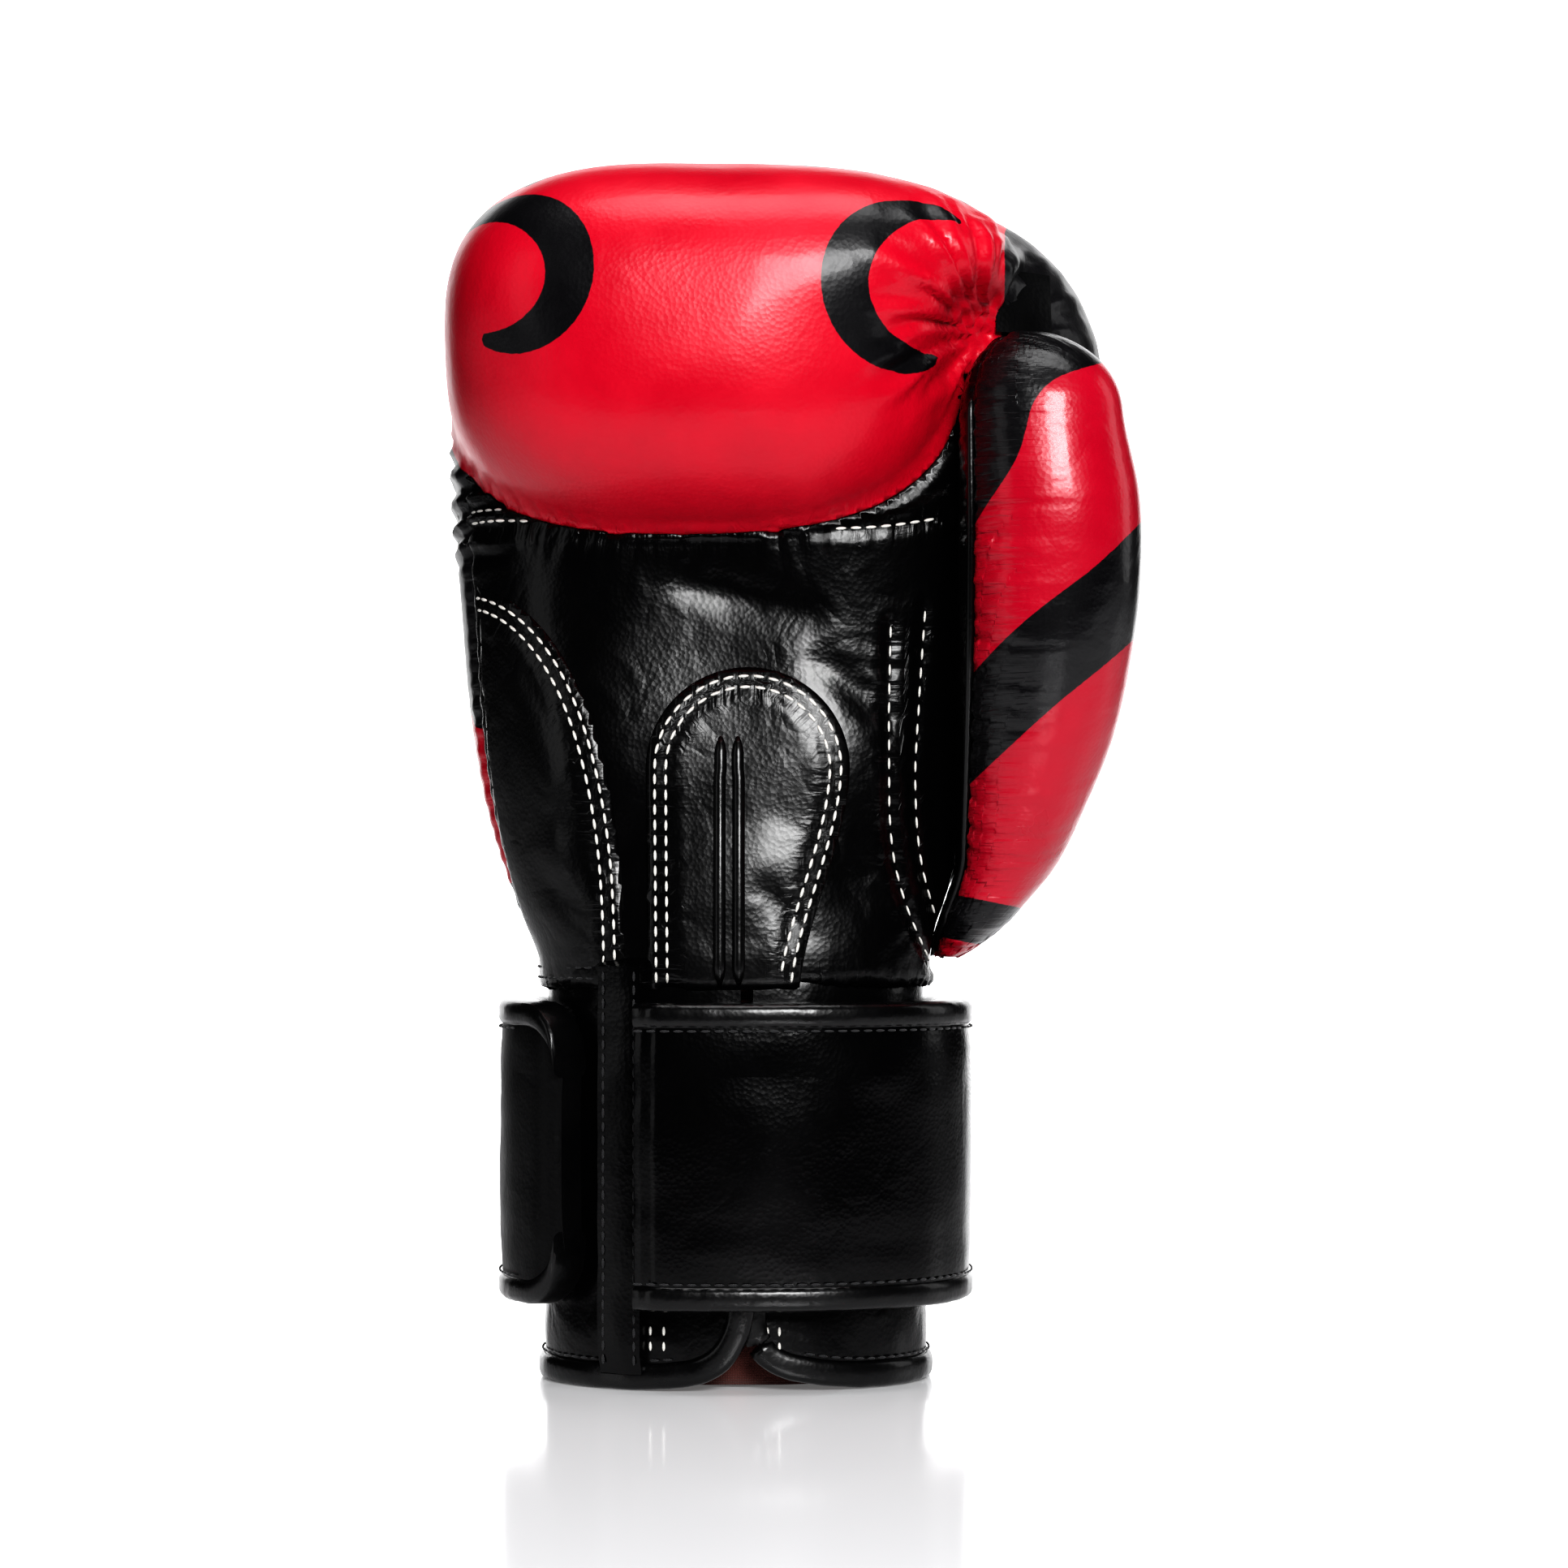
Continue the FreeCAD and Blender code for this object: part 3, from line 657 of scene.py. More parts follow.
palm = {
    "sideY": -5 * mm,           # where the palm leather meets the printed back, at the glove's side
    "topZ": 247 * mm,
    "creaseLift": 1.045,        # the palm ends this far outside the finger roll's form
    "bulges": [  # place across and up, radius, height
        (-46 * mm, 150 * mm, 27 * mm, 3.6 * mm),
        (34 * mm, 150 * mm, 20 * mm, 2.4 * mm),
        (-4 * mm, 188 * mm, 30 * mm, -3.0 * mm),
        (2 * mm, 132 * mm, 22 * mm, 1.6 * mm),
        (-27 * mm, 128 * mm, 9 * mm, -1.8 * mm),
        (29 * mm, 122 * mm, 8 * mm, -1.2 * mm),
    ],
    "folds": [  # start and end of a soft crease (across, up), width, depth
        (-60 * mm, 186 * mm, -42 * mm, 160 * mm, 5 * mm, -1.3 * mm),
        (-50 * mm, 128 * mm, -34 * mm, 112 * mm, 4 * mm, -1.1 * mm),
        (-12 * mm, 196 * mm, 18 * mm, 188 * mm, 5 * mm, -1.4 * mm),
        (22 * mm, 176 * mm, 40 * mm, 160 * mm, 4 * mm, -1.1 * mm),
        (8 * mm, 120 * mm, 18 * mm, 108 * mm, 3.5 * mm, -1.0 * mm),
    ],
}


def palmField(co):
    outsideRoll = (rollRho(co) - palm["creaseLift"]) * 50 * mm
    return min(outsideRoll, palm["sideY"] - co.y, palm["topZ"] - co.z)


def segmentDistance(px, pz, ax, az, bx, bz):
    dx, dz = bx - ax, bz - az
    t = min(max(((px - ax) * dx + (pz - az) * dz) / (dx * dx + dz * dz), 0), 1)
    return math.hypot(px - ax - t * dx, pz - az - t * dz), t


def palmRelief(co):
    if co.y > -18 * mm:
        return 0.0
    total = 0.0
    for x, z, radius, height in palm["bulges"]:
        d2 = ((co.x - x) ** 2 + (co.z - z) ** 2) / radius**2
        total += height * math.exp(-d2)
    for ax, az, bx, bz, width, depth in palm["folds"]:
        d, t = segmentDistance(co.x, co.z, ax, az, bx, bz)
        total += depth * math.exp(-((d / width) ** 2)) * (0.6 + 0.4 * math.sin(math.pi * t))
    return total * ease(-co.y, 18 * mm, 30 * mm) * ease(co.z, neckZ, neckZ + 14 * mm)


def isPalm(co):
    return palmField(co) > 0


# broad shape first, on the whole skin
moveAlongNormals(fistSkin, lambda v: (palmRelief(v.co) if isPalm(v.co) else 0.0)
                 + 0.55 * mm * ripple(v.co, 34 * mm, 3.0))
relax(fistSkin, fistSkin.verts, 2, 0.4)

pinch = {
    "spot": Vector((61 * mm, -44 * mm, 257 * mm)),   # where the thumb's tip is tied to the fist
    "dip": 4.5 * mm,
    "dipRadius": 9 * mm,
    "folds": 1.5 * mm,         # height of the folds that run out from it
    "foldsStart": (3 * mm, 9 * mm),
    "foldsEnd": 42,            # millimetres from the spot, and further towards the thumb side
    "foldsEndMore": 26,
}


def pinchFolds(co):
    d = co - pinch["spot"]
    reach = d.length
    turn = math.atan2(d.z, d.x)
    lift = (math.sin(turn * 17 + 2.2 * ripple(co, 14 * mm, 1.0)) * 0.55
            + math.sin(turn * 29 + 3.0 * ripple(co, 9 * mm, 6.0)) * 0.35)
    end = (pinch["foldsEnd"] + pinch["foldsEndMore"] * ease(co.x, 60 * mm, 72 * mm)) * mm
    return pinch["folds"] * lift * ease(reach, *pinch["foldsStart"]) * (1 - ease(reach, 18 * mm, end))


def pinchDip(co):
    return -pinch["dip"] * math.exp(-(((co - pinch["spot"]).length / pinch["dipRadius"]) ** 2))


ruffle = {"height": 1.0 * mm, "pitch": 6.2 * mm, "low": 196 * mm, "high": 262 * mm}


def sideFolds(co):
    # ruffled leather behind the roll's little-finger end
    low, high = ruffle["low"], ruffle["high"]
    if co.x > -50 * mm or not low < co.z < high:
        return 0.0
    weight = ease(-co.x, 50 * mm, 62 * mm) * (1 - ease(co.y, 5 * mm, 30 * mm)) * ease(rollRho(co), 1.02, 1.06)
    weight *= ease(co.z, low + 2 * mm, low + 14 * mm) * (1 - ease(co.z, high - 20 * mm, high))
    wave = math.sin(co.z / ruffle["pitch"] * 2 * math.pi + 2.5 * ripple(co, 16 * mm, 9.0))
    return ruffle["height"] * weight * wave


moveAlongNormals(fistSkin, lambda v: sideFolds(v.co)
                 + (0.0 if isPalm(v.co) else pinchFolds(v.co) + pinchDip(v.co)))

fistPanel = panelOf(fistSkin, palmField, keepInside=False)
palmPanel = panelOf(fistSkin, palmField, keepInside=True)
fistSkin.free()
stage(f"panels, {len(fistPanel.verts)} and {len(palmPanel.verts)} vertices")


# Print: plain tapered crescents

ink = {
    "front": [  # centre across and up, radius, start and end in degrees, widest stroke
        (-55, 266, 19, 150, -105, 12.0),
        (44, 263, 20, 62, 285, 11.5),
    ],
    "top": [    # centre across and front to back, radius, start, end, widest
        (-33, -54, 30, 46, 134, 13.0),
        (35, -58, 34, 52, 128, 14.0),
        (-8, 30, 40, 200, 330, 13.0),
    ],
    "back": [   # as front, seen from behind
        (-70, 168, 98, -12, 60, 17.0),
        (-26, 146, 96, -4, 58, 15.0),
        (64, 300, 72, 186, 262, 13.0),
        (-86, 262, 44, -62, 34, 11.0),
        (84, 112, 62, 96, 168, 12.0),
        (-84, 128, 52, -30, 52, 11.0),
    ],
}


def strokePoints(bvh, spec, side):
    # a stroke's centre line and half widths, dropped on the leather from one side
    u, v, radius, start, end, width = spec
    points = []
    steps = 34
    for i in range(steps + 1):
        s = i / steps
        a = math.radians(start + (end - start) * s)
        r = radius * (1 - 0.22 * s) * mm
        pu, pv = u * mm + r * math.cos(a), v * mm + r * math.sin(a)
        origin, aim = {
            "front": ((pu, -0.3, pv), (0, 1, 0)),
            "back": ((pu, 0.3, pv), (0, -1, 0)),
            "top": ((pu, pv, 0.5), (0, 0, -1)),
        }[side]
        hit = bvh.ray_cast(Vector(origin), Vector(aim))[0]
        half = width / 2 * mm * math.sin(math.pi * (0.04 + 0.9 * s)) ** 0.75
        if hit is not None and half > 0.2 * mm:
            points.append((hit, half))
    return points


def inkDistances(bm, strokes):
    # signed distance to the nearest stroke's edge, positive inside the black
    co = np.array([v.co for v in bm.verts])
    best = np.full(len(co), -1.0)
    for stroke in strokes:
        for (p, a), (q, b) in zip(stroke, stroke[1:]):
            d = np.array(q - p)
            length2 = max(float(d @ d), 1e-12)
            t = np.clip(((co - np.array(p)) @ d) / length2, 0, 1)
            gap = np.linalg.norm(co - np.array(p) - t[:, None] * d, axis=1)
            best = np.maximum(best, a + (b - a) * t - gap)
    return best


fistBvh = BVHTree.FromBMesh(fistPanel)
strokes = [strokePoints(fistBvh, spec, side) for side in ("front", "top", "back") for spec in ink[side]]
strokes = [stroke for stroke in strokes if len(stroke) > 3]
inkValues = inkDistances(fistPanel, strokes)


def roundPatch(co, y, z, halfY, halfZ):
    # an oval area on a side of the glove, with a wavy edge
    rho = math.hypot((co.y - y * mm) / halfY / mm, (co.z - z * mm) / halfZ / mm)
    return (1 - rho) * 45 * mm + 3.5 * mm * ripple(co, 17 * mm, 6.0)


def gussetInk(co):
    # the thumb side, the lower little-finger side and the neck are plain black
    right = co.x - 64 * mm - 0.24 * (co.z - 262 * mm) - 2.5 * mm * math.sin((co.z - 240 * mm) / (9 * mm))
    thumbSide = min(right, roundPatch(co, -20, 242, 62, 56))
    ulnar = min(-57 * mm - co.x, (rollRho(co) - 1.04) * 50 * mm, 246 * mm - co.z,
                roundPatch(co, -18, 205, 46, 46))
    foot = (118 * mm + 5 * mm * math.sin(co.x / (11 * mm)) - co.z) * 0.8
    base = min(co.x - 36 * mm, roundPatch(co, -8, 112, 30, 50))
    return max(thumbSide, ulnar, foot, base)


inkValues = [max(value, gussetInk(v.co)) for value, v in zip(inkValues, fistPanel.verts)]
setFloat(fistPanel, "inkDist", inkValues)


# Seams: a groove at each panel's border, gathers that run square to it

def dressSeam(bm, depth, width, gather, pitch, reach, extra=None):
    # extra is a lookup of lines that count as seams too
    tree, runs = borderTree(bm)
    near = []
    for v in bm.verts:
        _, i, d = tree.find(v.co)
        run = runs[i]
        if extra:
            _, j, e = extra[0].find(v.co)
            if e < d:
                d, run = e, extra[1][j]
        near.append((d, run))
    setFloat(bm, "seamDist", [d for d, _ in near])
    setFloat(bm, "seamAlong", [run for _, run in near])

    def amount(co, d, run):
        groove = -depth * math.exp(-((d / width) ** 2))
        wave = math.sin(run / pitch * 2 * math.pi + 2.6 * ripple((run / pitch * 0.31, 0.0, 0.0), 1.0, 4.0))
        uneven = 0.5 + 0.5 * ripple(co, 22 * mm, 5.0)
        return groove + gather * wave * uneven * math.exp(-d / reach) * ease(d, 0.0, 1.2 * mm)

    moveAlongNormals(bm, [amount(v.co, *n) for v, n in zip(bm.verts, near)])


dressSeam(fistPanel, 1.3 * mm, 2.2 * mm, 0.75 * mm, 5.6 * mm, 6 * mm)


# Palm: lines for its overlays, then the overlays themselves

heel = {
    "corner": (-76 * mm, 96 * mm),   # the curve's centre, at the neck outside the glove
    "reach": (49.5 * mm, 101 * mm),  # how far it reaches across and up from there
    "power": 2.45,
    "thick": 1.0 * mm,
}
reinforcement = {
    "left": -21.5 * mm,
    "right": 28.0 * mm,
    "footLeft": -21.0 * mm,
    "footRight": 15.5 * mm,
    "top": 175 * mm,
    "thick": 0.9 * mm,
}
rowGap = 2.7 * mm


def curvePoints(points, step=1.0):
    # a smooth line through sparse points, in small steps
    pts = [Vector(p) for p in points]
    out = []
    for i in range(len(pts) - 1):
        a = pts[max(i - 1, 0)]
        b, c = pts[i], pts[i + 1]
        d = pts[min(i + 2, len(pts) - 1)]
        n = max(2, int((c - b).length / step))
        for k in range(n):
            t = k / n
            out.append(0.5 * (2 * b + (c - a) * t + (2 * a - 5 * b + 4 * c - d) * t**2
                              + (3 * b - a - 3 * c + d) * t**3))
    out.append(pts[-1])
    return out


def heelField(co):
    if co.y > -10 * mm:
        return -1.0
    dx = max(co.x - heel["corner"][0], 0.0) / heel["reach"][0]
    dz = max(co.z - heel["corner"][1], 0.0) / heel["reach"][1]
    return (1 - (dx ** heel["power"] + dz ** heel["power"]) ** (1 / heel["power"])) * heel["reach"][0]


heelLine = []
for step in range(61):
    turn = math.radians(90 - 1.5 * step)
    heelLine.append(Vector((heel["corner"][0] + heel["reach"][0] * math.cos(turn) ** (2 / heel["power"]),
                            heel["corner"][1] + heel["reach"][1] * max(math.sin(turn), 0.0) ** (2 / heel["power"]))))


def reinforcementSide(z, right):
    low, high = (reinforcement[name] for name in (("footRight", "right") if right else ("footLeft", "left")))
    return low + (high - low) * ease(z, 92 * mm, 152 * mm)


def reinforcementField(co):
    left, right = reinforcementSide(co.z, False), reinforcementSide(co.z, True)
    mid, half = (left + right) / 2, (right - left) / 2
    centreZ = reinforcement["top"] - half
    if co.y > -10 * mm:
        return -1.0
    if co.z > centreZ:
        return half - math.hypot(co.x - mid, co.z - centreZ)
    return min(co.x - left, right - co.x)


palmBase = palmPanel.copy()


def frontBvh(*forms):
    whole = bmesh.new()
    for form in forms:
        piece = bpy.data.meshes.new("piece")
        form.to_mesh(piece)
        whole.from_mesh(piece)
        bpy.data.meshes.remove(piece)
    tree = BVHTree.FromBMesh(whole)
    whole.free()
    return tree


def overlay(base, field, thick):
    # a patch that lies on the palm, thin at its edge
    part = panelOf(base, field)
    tree, runs = borderTree(part)
    near = [tree.find(v.co) for v in part.verts]
    setSeam(part, near, runs)
    moveAlongNormals(part, [0.12 * mm + thick * ease(n[2], 0.0, 1.6 * mm) + 0.25 * mm * ease(n[2], 3 * mm, 9 * mm)
                            for n in near])
    return part


heelPatch = overlay(palmBase, heelField, heel["thick"])
slitPatch = overlay(palmBase, reinforcementField, reinforcement["thick"])

palmSurface = frontBvh(palmPanel, heelPatch, slitPatch)


def onFront(line, bvh=None, lift=0.0):
    # a line drawn on the front view, dropped on the palm
    out = []
    for p in line:
        hit, normal, _, _ = (bvh or palmSurface).ray_cast(Vector((p.x, -0.2, p.y)), Vector((0, 1, 0)))
        if hit is not None:
            out.append(hit + (normal if normal.y < 0 else -normal) * lift)
    return out


def offsetLine(line, distance):
    out = []
    for i, p in enumerate(line):
        a, b = line[max(i - 1, 0)], line[min(i + 1, len(line) - 1)]
        d = (b - a).normalized()
        out.append(Vector((p.x + d.y * distance, p.y - d.x * distance)))
    return out


def reinforcementLine(inset):
    points = []
    z = 96 * mm
    left, right = reinforcementSide(1.0, False) + inset, reinforcementSide(1.0, True) - inset
    mid, half = (left + right) / 2, (right - left) / 2
    centreZ = reinforcement["top"] - inset - half
    while z < centreZ:
        points.append((reinforcementSide(z, False) + inset, z))
        z += 2 * mm
    for a in range(180, -1, -6):
        points.append((mid + half * math.cos(math.radians(a)), centreZ + half * math.sin(math.radians(a))))
    while z > 96 * mm:
        z -= 2 * mm
        points.append((reinforcementSide(z, True) - inset, z))
    return [Vector(p) for p in points]


heelRows = [offsetLine(heelLine, 2.4 * mm), offsetLine(heelLine, 2.4 * mm + rowGap)]
slitRows = [reinforcementLine(2.2 * mm), reinforcementLine(2.2 * mm + rowGap)]
sewnLines = {  # across and up, in millimetres
    "thumb": [
        [(46.5, 190), (45, 168), (44, 147), (45.5, 128), (50, 112)],
        [(38, 186), (37.5, 160), (38, 134), (41.5, 118), (48, 103)],
    ],
    "grip": [
        [(-68, 214.5), (-58, 214.5), (-40, 213)],
        [(-68, 211.8), (-58, 211.8), (-40, 210.2)],
        [(24, 208.5), (38, 209.5), (52, 212)],
    ],
}
thumbRows, gripRows = ([curvePoints([(x * mm, z * mm) for x, z in line], 1.5 * mm) for line in sewnLines[place]]
                       for place in ("thumb", "grip"))

# the palm sinks a little under every row of stitches
palmLines = [onFront(r) for r in thumbRows + gripRows]
extraPalm = lineTree([l for l in palmLines if len(l) > 2])
dressSeam(palmPanel, 1.0 * mm, 2.0 * mm, 0.55 * mm, 6.0 * mm, 5 * mm, extra=extraPalm)


def sinkUnder(bm, rows, depth, width):
    tree, runs = lineTree([l for l in (onFront(r) for r in rows) if len(l) > 2])
    near = [tree.find(v.co) for v in bm.verts]
    moveAlongNormals(bm, [-depth * math.exp(-((n[2] / width) ** 2)) for n in near])
    setSeam(bm, near, runs)


sinkUnder(heelPatch, heelRows, 0.5 * mm, 1.9 * mm)
sinkUnder(slitPatch, slitRows, 0.5 * mm, 1.9 * mm)

stitch = {"length": 2.7 * mm, "pitch": 3.7 * mm, "width": 0.78 * mm, "lift": 0.12 * mm}


def stitchesAlong(bm, line, settings=None):
    s = {**stitch, **(settings or {})}
    total = sum((b - a).length for a, b in zip(line, line[1:]))
    count = int(total / s["pitch"])
    if count < 1:
        return
    run, i = 0.0, 0
    for k in range(count):
        middle = (k + 0.5) * s["pitch"]
        while i < len(line) - 2 and run + (line[i + 1] - line[i]).length < middle:
            run += (line[i + 1] - line[i]).length
            i += 1
        a, b = line[i], line[i + 1]
        d = (b - a).length
        if d < 1e-7:
            continue
        spot = a.lerp(b, min(max((middle - run) / d, 0), 1))
        along = (b - a).normalized()
        side = along.cross(Vector((0, 0, 1)) if abs(along.z) < 0.9 else Vector((0, 1, 0))).normalized()
        up = side.cross(along)
        turn = Matrix((along, side, up)).transposed().to_4x4()
        size = Matrix.Diagonal((s["length"] / 2, s["width"] / 2, s["width"] / 2, 1))
        place = Matrix.Translation(spot) @ turn @ size @ Matrix.Rotation(math.pi / 2, 4, "Y")
        bmesh.ops.create_uvsphere(bm, u_segments=8, v_segments=5, radius=1.0, matrix=place)


def stitchPiece(name, lines, mat, body="glove", settings=None, blend=None):
    bm = bmesh.new()
    for line in lines:
        if len(line) > 2:
            stitchesAlong(bm, line, settings)
    return finishPiece(name, bm, mat, body, blend=blend)


stage("palm stitches")
palmSurface = frontBvh(palmPanel, heelPatch, slitPatch)
onlyPalm = frontBvh(palmPanel)
for name, rows, surface, settings in (
        ("heelStitches", heelRows, palmSurface, None),
        ("slitStitches", slitRows, palmSurface, None),
        ("thumbSideStitches", thumbRows, onlyPalm, {"width": 0.62 * mm, "length": 2.9 * mm, "pitch": 4.6 * mm}),
        ("gripStitches", gripRows, onlyPalm, None)):
    stitchPiece(name, [onFront(row, surface, stitch["lift"]) for row in rows], whiteThread, settings=settings)

wall = 1.2 * mm     # thickness of the covers' leather
finishPiece("heelPatch", heelPatch, patchLeather, "glove", ["heel_patch"], thick=0.5 * mm)
finishPiece("slitPatch", slitPatch, patchLeather, "glove", ["slit_patch"], thick=0.5 * mm)
finishPiece("palmPanel", palmPanel, palmLeather, "glove", ["palm_panel", "palm_foam"], wall)
finishPiece("fistCover", fistPanel, printedLeather, "glove",
            ["fist_cover", "fist_outer_foam", "knuckle_foam"], wall)
palmBase.free()


# Slit: two bound edges, one each side of a narrow dark opening

def rodAlong(name, path, radius, body, replaces=(), segments=10):
    # a round leather bead swept along a path of points, thinner at its two ends
    count = len(path)

    def place(turn, level):
        along = (path[min(level + 1, count - 1)] - path[max(level - 1, 0)]).normalized()
        side = along.cross(Vector((0, 0, 1)) if abs(along.z) < 0.85 else Vector((0, 1, 0))).normalized()
        up = side.cross(along)
        end = min(level, count - 1 - level) / max(count * 0.03, 2)
        r = radius * min(1.0, 0.25 + 0.75 * math.sqrt(min(end, 1.0)))
        return path[level] + side * (math.cos(turn) * r) + up * (math.sin(turn) * r)

    bm = tube(segments, count, place)
    return finishPiece(name, bm, pipingLeather, body, replaces)


slit = {"centre": -1.2 * mm, "apart": 2.3 * mm, "bead": 1.55 * mm}
for sideName, dx in (("Left", -slit["apart"]), ("Right", slit["apart"])):
    line = [Vector((slit["centre"] + dx * (1.0 if z < 150 else 0.9), z * mm)) for z in range(98, 160, 2)]
    rodAlong("slitWelt" + sideName, onFront(line, palmSurface, 0.35 * mm), slit["bead"], "glove",
             ["slit_welts"] if dx < 0 else ())


# Thumb: gathered at its seams, then split into its two panels

stage("thumb")


def thumbRowShare(co):
    base = innerLow.z - thumb["footDrop"]
    return (co.z - base) / (thumbHigh.z - base)


pipingLine, backLine = ([thumbRow(turn, level) for level in range(thumb["rows"] - 2)] for turn in thumb["seamTurns"])
relax(thumbSkin, thumbSkin.verts, 5)
bmesh.ops.subdivide_edges(thumbSkin, edges=thumbSkin.edges, cuts=1, use_grid_fill=True, smooth=0.0)
seamTree, seamRuns = lineTree([pipingLine, backLine])
thumbNear = [seamTree.find(v.co) for v in thumbSkin.verts]


def thumbFolds(v, near):
    d, run = near[2], seamRuns[near[1]]
    wave = math.sin(run / thumb["foldPitch"] * 2 * math.pi + 2.8 * ripple((run / (12 * mm), 0, 0), 1.0, 2.0))
    fine = math.sin(run / thumb["fineFoldPitch"] * 2 * math.pi + 2.0 * ripple((run / (7 * mm), 0, 0), 1.0, 8.0))
    strength = 0.4 + 1.2 * abs(ripple(v.co, 26 * mm, 12.0))
    if near[1] >= len(pipingLine):
        strength *= thumb["backFolds"]
    folds = (thumb["foldHeight"] * wave + thumb["fineFoldHeight"] * fine) * strength
    folds *= math.exp(-d / thumb["foldReach"]) * ease(d, 0.0, 1.5 * mm)
    groove = thumb["groove"] * math.exp(-((d / (1.8 * mm)) ** 2))
    return thumb["crown"] * ease(d, 0.0, 16 * mm) - groove + folds + 0.5 * mm * ripple(v.co, 19 * mm, 7.0)


moveAlongNormals(thumbSkin, [thumbFolds(v, n) for v, n in zip(thumbSkin.verts, thumbNear)])
setSeam(thumbSkin, thumbNear, seamRuns)


def thumbInk(co):
    # positive inside the black: a slanted band, the tip, the foot and an oval on its outer side
    x, y, z = co.x / mm, co.y / mm, co.z / mm
    wave = 2.6 * math.sin(x / 6.5) + 1.4 * math.sin(z / 5.0 + 1.0)
    band = 13.0 - abs(z - 0.9 * (x - 54) + wave * 0.5 - 157)
    tip = (z - 203) - 1.45 * (x - 54) + 2.2 * wave
    foot = 5.5 - abs(z - 113 + 0.2 * (x - 60))
    outer = (1 - math.hypot((y + 4) / 21, (z - 188) / 40)) * 24 + wave * 0.5
    return max(band, tip * 0.6, foot, min(outer, x - 88.5 + wave * 0.4)) * mm


setFloat(thumbSkin, "inkDist", [thumbInk(v.co) for v in thumbSkin.verts])


seamTable = [[thumbPlace(turn, thumb["tipShare"] * k / 100) for turn in thumb["seamTurns"]] for k in range(101)]


def thumbSide(co):
    # positive on the panel that faces the palm and the fist
    a, b = seamTable[int(min(max(thumbRowShare(co) / thumb["tipShare"], 0), 1) * 100)]
    d = Vector((b.x - a.x, b.y - a.y))
    return (d.x * (co.y - a.y) - d.y * (co.x - a.x)) / d.length


finishPiece("thumbCover", panelOf(thumbSkin, thumbSide, keepInside=False), thumbLeather, "thumb",
            ["thumb_cover", "thumb_foam"], wall)
finishPiece("thumbInnerPanel", panelOf(thumbSkin, thumbSide), palmLeather, "thumb",
            ["thumb_inner_panel", "thumb_lining"], wall)
piping = []
for p in pipingLine[1:]:
    hit, normal, _, _ = thumbBvh.find_nearest(p)
    piping.append(hit - normal * 0.2 * mm)
rodAlong("thumbPiping", piping[:int(len(piping) * 0.8)], 1.05 * mm, "thumb", ["thumb_welt"])
thumbSkin.free()


# Cuff: leather wall with its rim cut away round the slit, bound edge, lining

stage("cuff")
rim = {
    # the rim binding's way: degrees round the cuff, offset, height; both ends turn up beside the slit
    "way": [
        (276.5, 0.1, 26), (276.8, 0.1, 17), (279.5, 0.1, 10.8), (286, 0.1, 7.0), (297, 0.1, 4.9), (312, 0.1, 3.6),
        (330, 0.1, 3.35), (390, 0.1, 3.3), (450, 0.1, 3.3), (510, 0.1, 3.3), (570, 0.1, 3.3), (596, 0.1, 3.4),
        (610, 0.2, 4.0), (619, 0.6, 5.4), (625, 1.2, 8.0), (629.5, 1.7, 12.5), (632, 2.0, 18.0), (633, 2.0, 26),
    ],
    "half": 3.2 * mm,      # half its height
    "bulge": 1.9 * mm,     # how far it stands out
    "inner": 10.6 * mm,    # how far it goes in, under the wall
}
rimWay = curvePoints(rim["way"], 1.4)


def rimZ(degrees):
    # the wall's lower edge follows the binding's middle
    d = 270 + (degrees - 270) % 360
    for a, b in zip(rimWay, rimWay[1:]):
        if a.x <= d < b.x:
            return (a.z + (b.z - a.z) * (d - a.x) / (b.x - a.x)) * mm
    return 26 * mm


def bandPiece(name, profile, degrees, mat, body, replaces=(), blend=None, relief=None):
    # a closed cross-section of (offset, z) points, or of functions that give them, swept round the cuff
    def place(turn, level):
        i = int(round(turn / (2 * math.pi) * len(profile))) % len(profile)
        offset, z = profile[i](degrees[level]) if callable(profile[i]) else profile[i]
        return cuffPoint(degrees[level], offset, z)

    bm = tube(len(profile), len(degrees), place)
    moveAlongNormals(bm, relief)
    return finishPiece(name, bm, mat, body, replaces, blend=blend, sharp=40)


def slabProfile(inner, outer, low, high, across=14, crown=0.0, corner=1.0 * mm):
    # outer face with a crown, square inner face
    pts = []
    for i in range(across + 1):
        t = i / across
        edge = min(t, 1 - t) * (high - low)
        dip = -(corner) * (1 - min(1.0, edge / corner)) ** 2 if corner else 0.0
        pts.append((outer + crown * (1 - (2 * t - 1) ** 2) + dip, low + (high - low) * t))
    for i in range(across + 1):
        t = 1 - i / across
        pts.append((inner, low + (high - low) * t))
    return pts


def spread(start, end, step=2.0):
    count = max(2, int(round((end - start) / step)) + 1)
    return [start + (end - start) * i / (count - 1) for i in range(count)]


def cuffWallPiece(name, start, end, replaces):
    # the wall follows the rim's cut-away
    across = 44
    degrees = spread(start, end, 1.5)
    top = cuffHigh.z + 1.0 * mm

    def point(t, inner):
        def at(deg):
            low = rimZ(deg) - 1.0 * mm
            z = low + (top - low) * t
            bulge = 0.7 * mm * math.sin(math.pi * min(max((z - 2 * mm) / (20 * mm), 0), 1))
            pull = -1.2 * mm * ease(z, top - 8 * mm, top)
            return ((-2.2 * mm) if inner else (bulge + pull - 0.2 * mm)), z
        return at

    shares = [i / across for i in range(across + 1)]
    profile = [point(t, False) for t in shares] + [point(t, True) for t in reversed(shares)]

    def relief(v):
        return 0.35 * mm * ripple(v.co, 12 * mm, 21.0) + 0.18 * mm * ripple(v.co, 5 * mm, 31.0)

    bandPiece(name, profile, degrees, palmLeather, "glove", replaces, relief=relief)


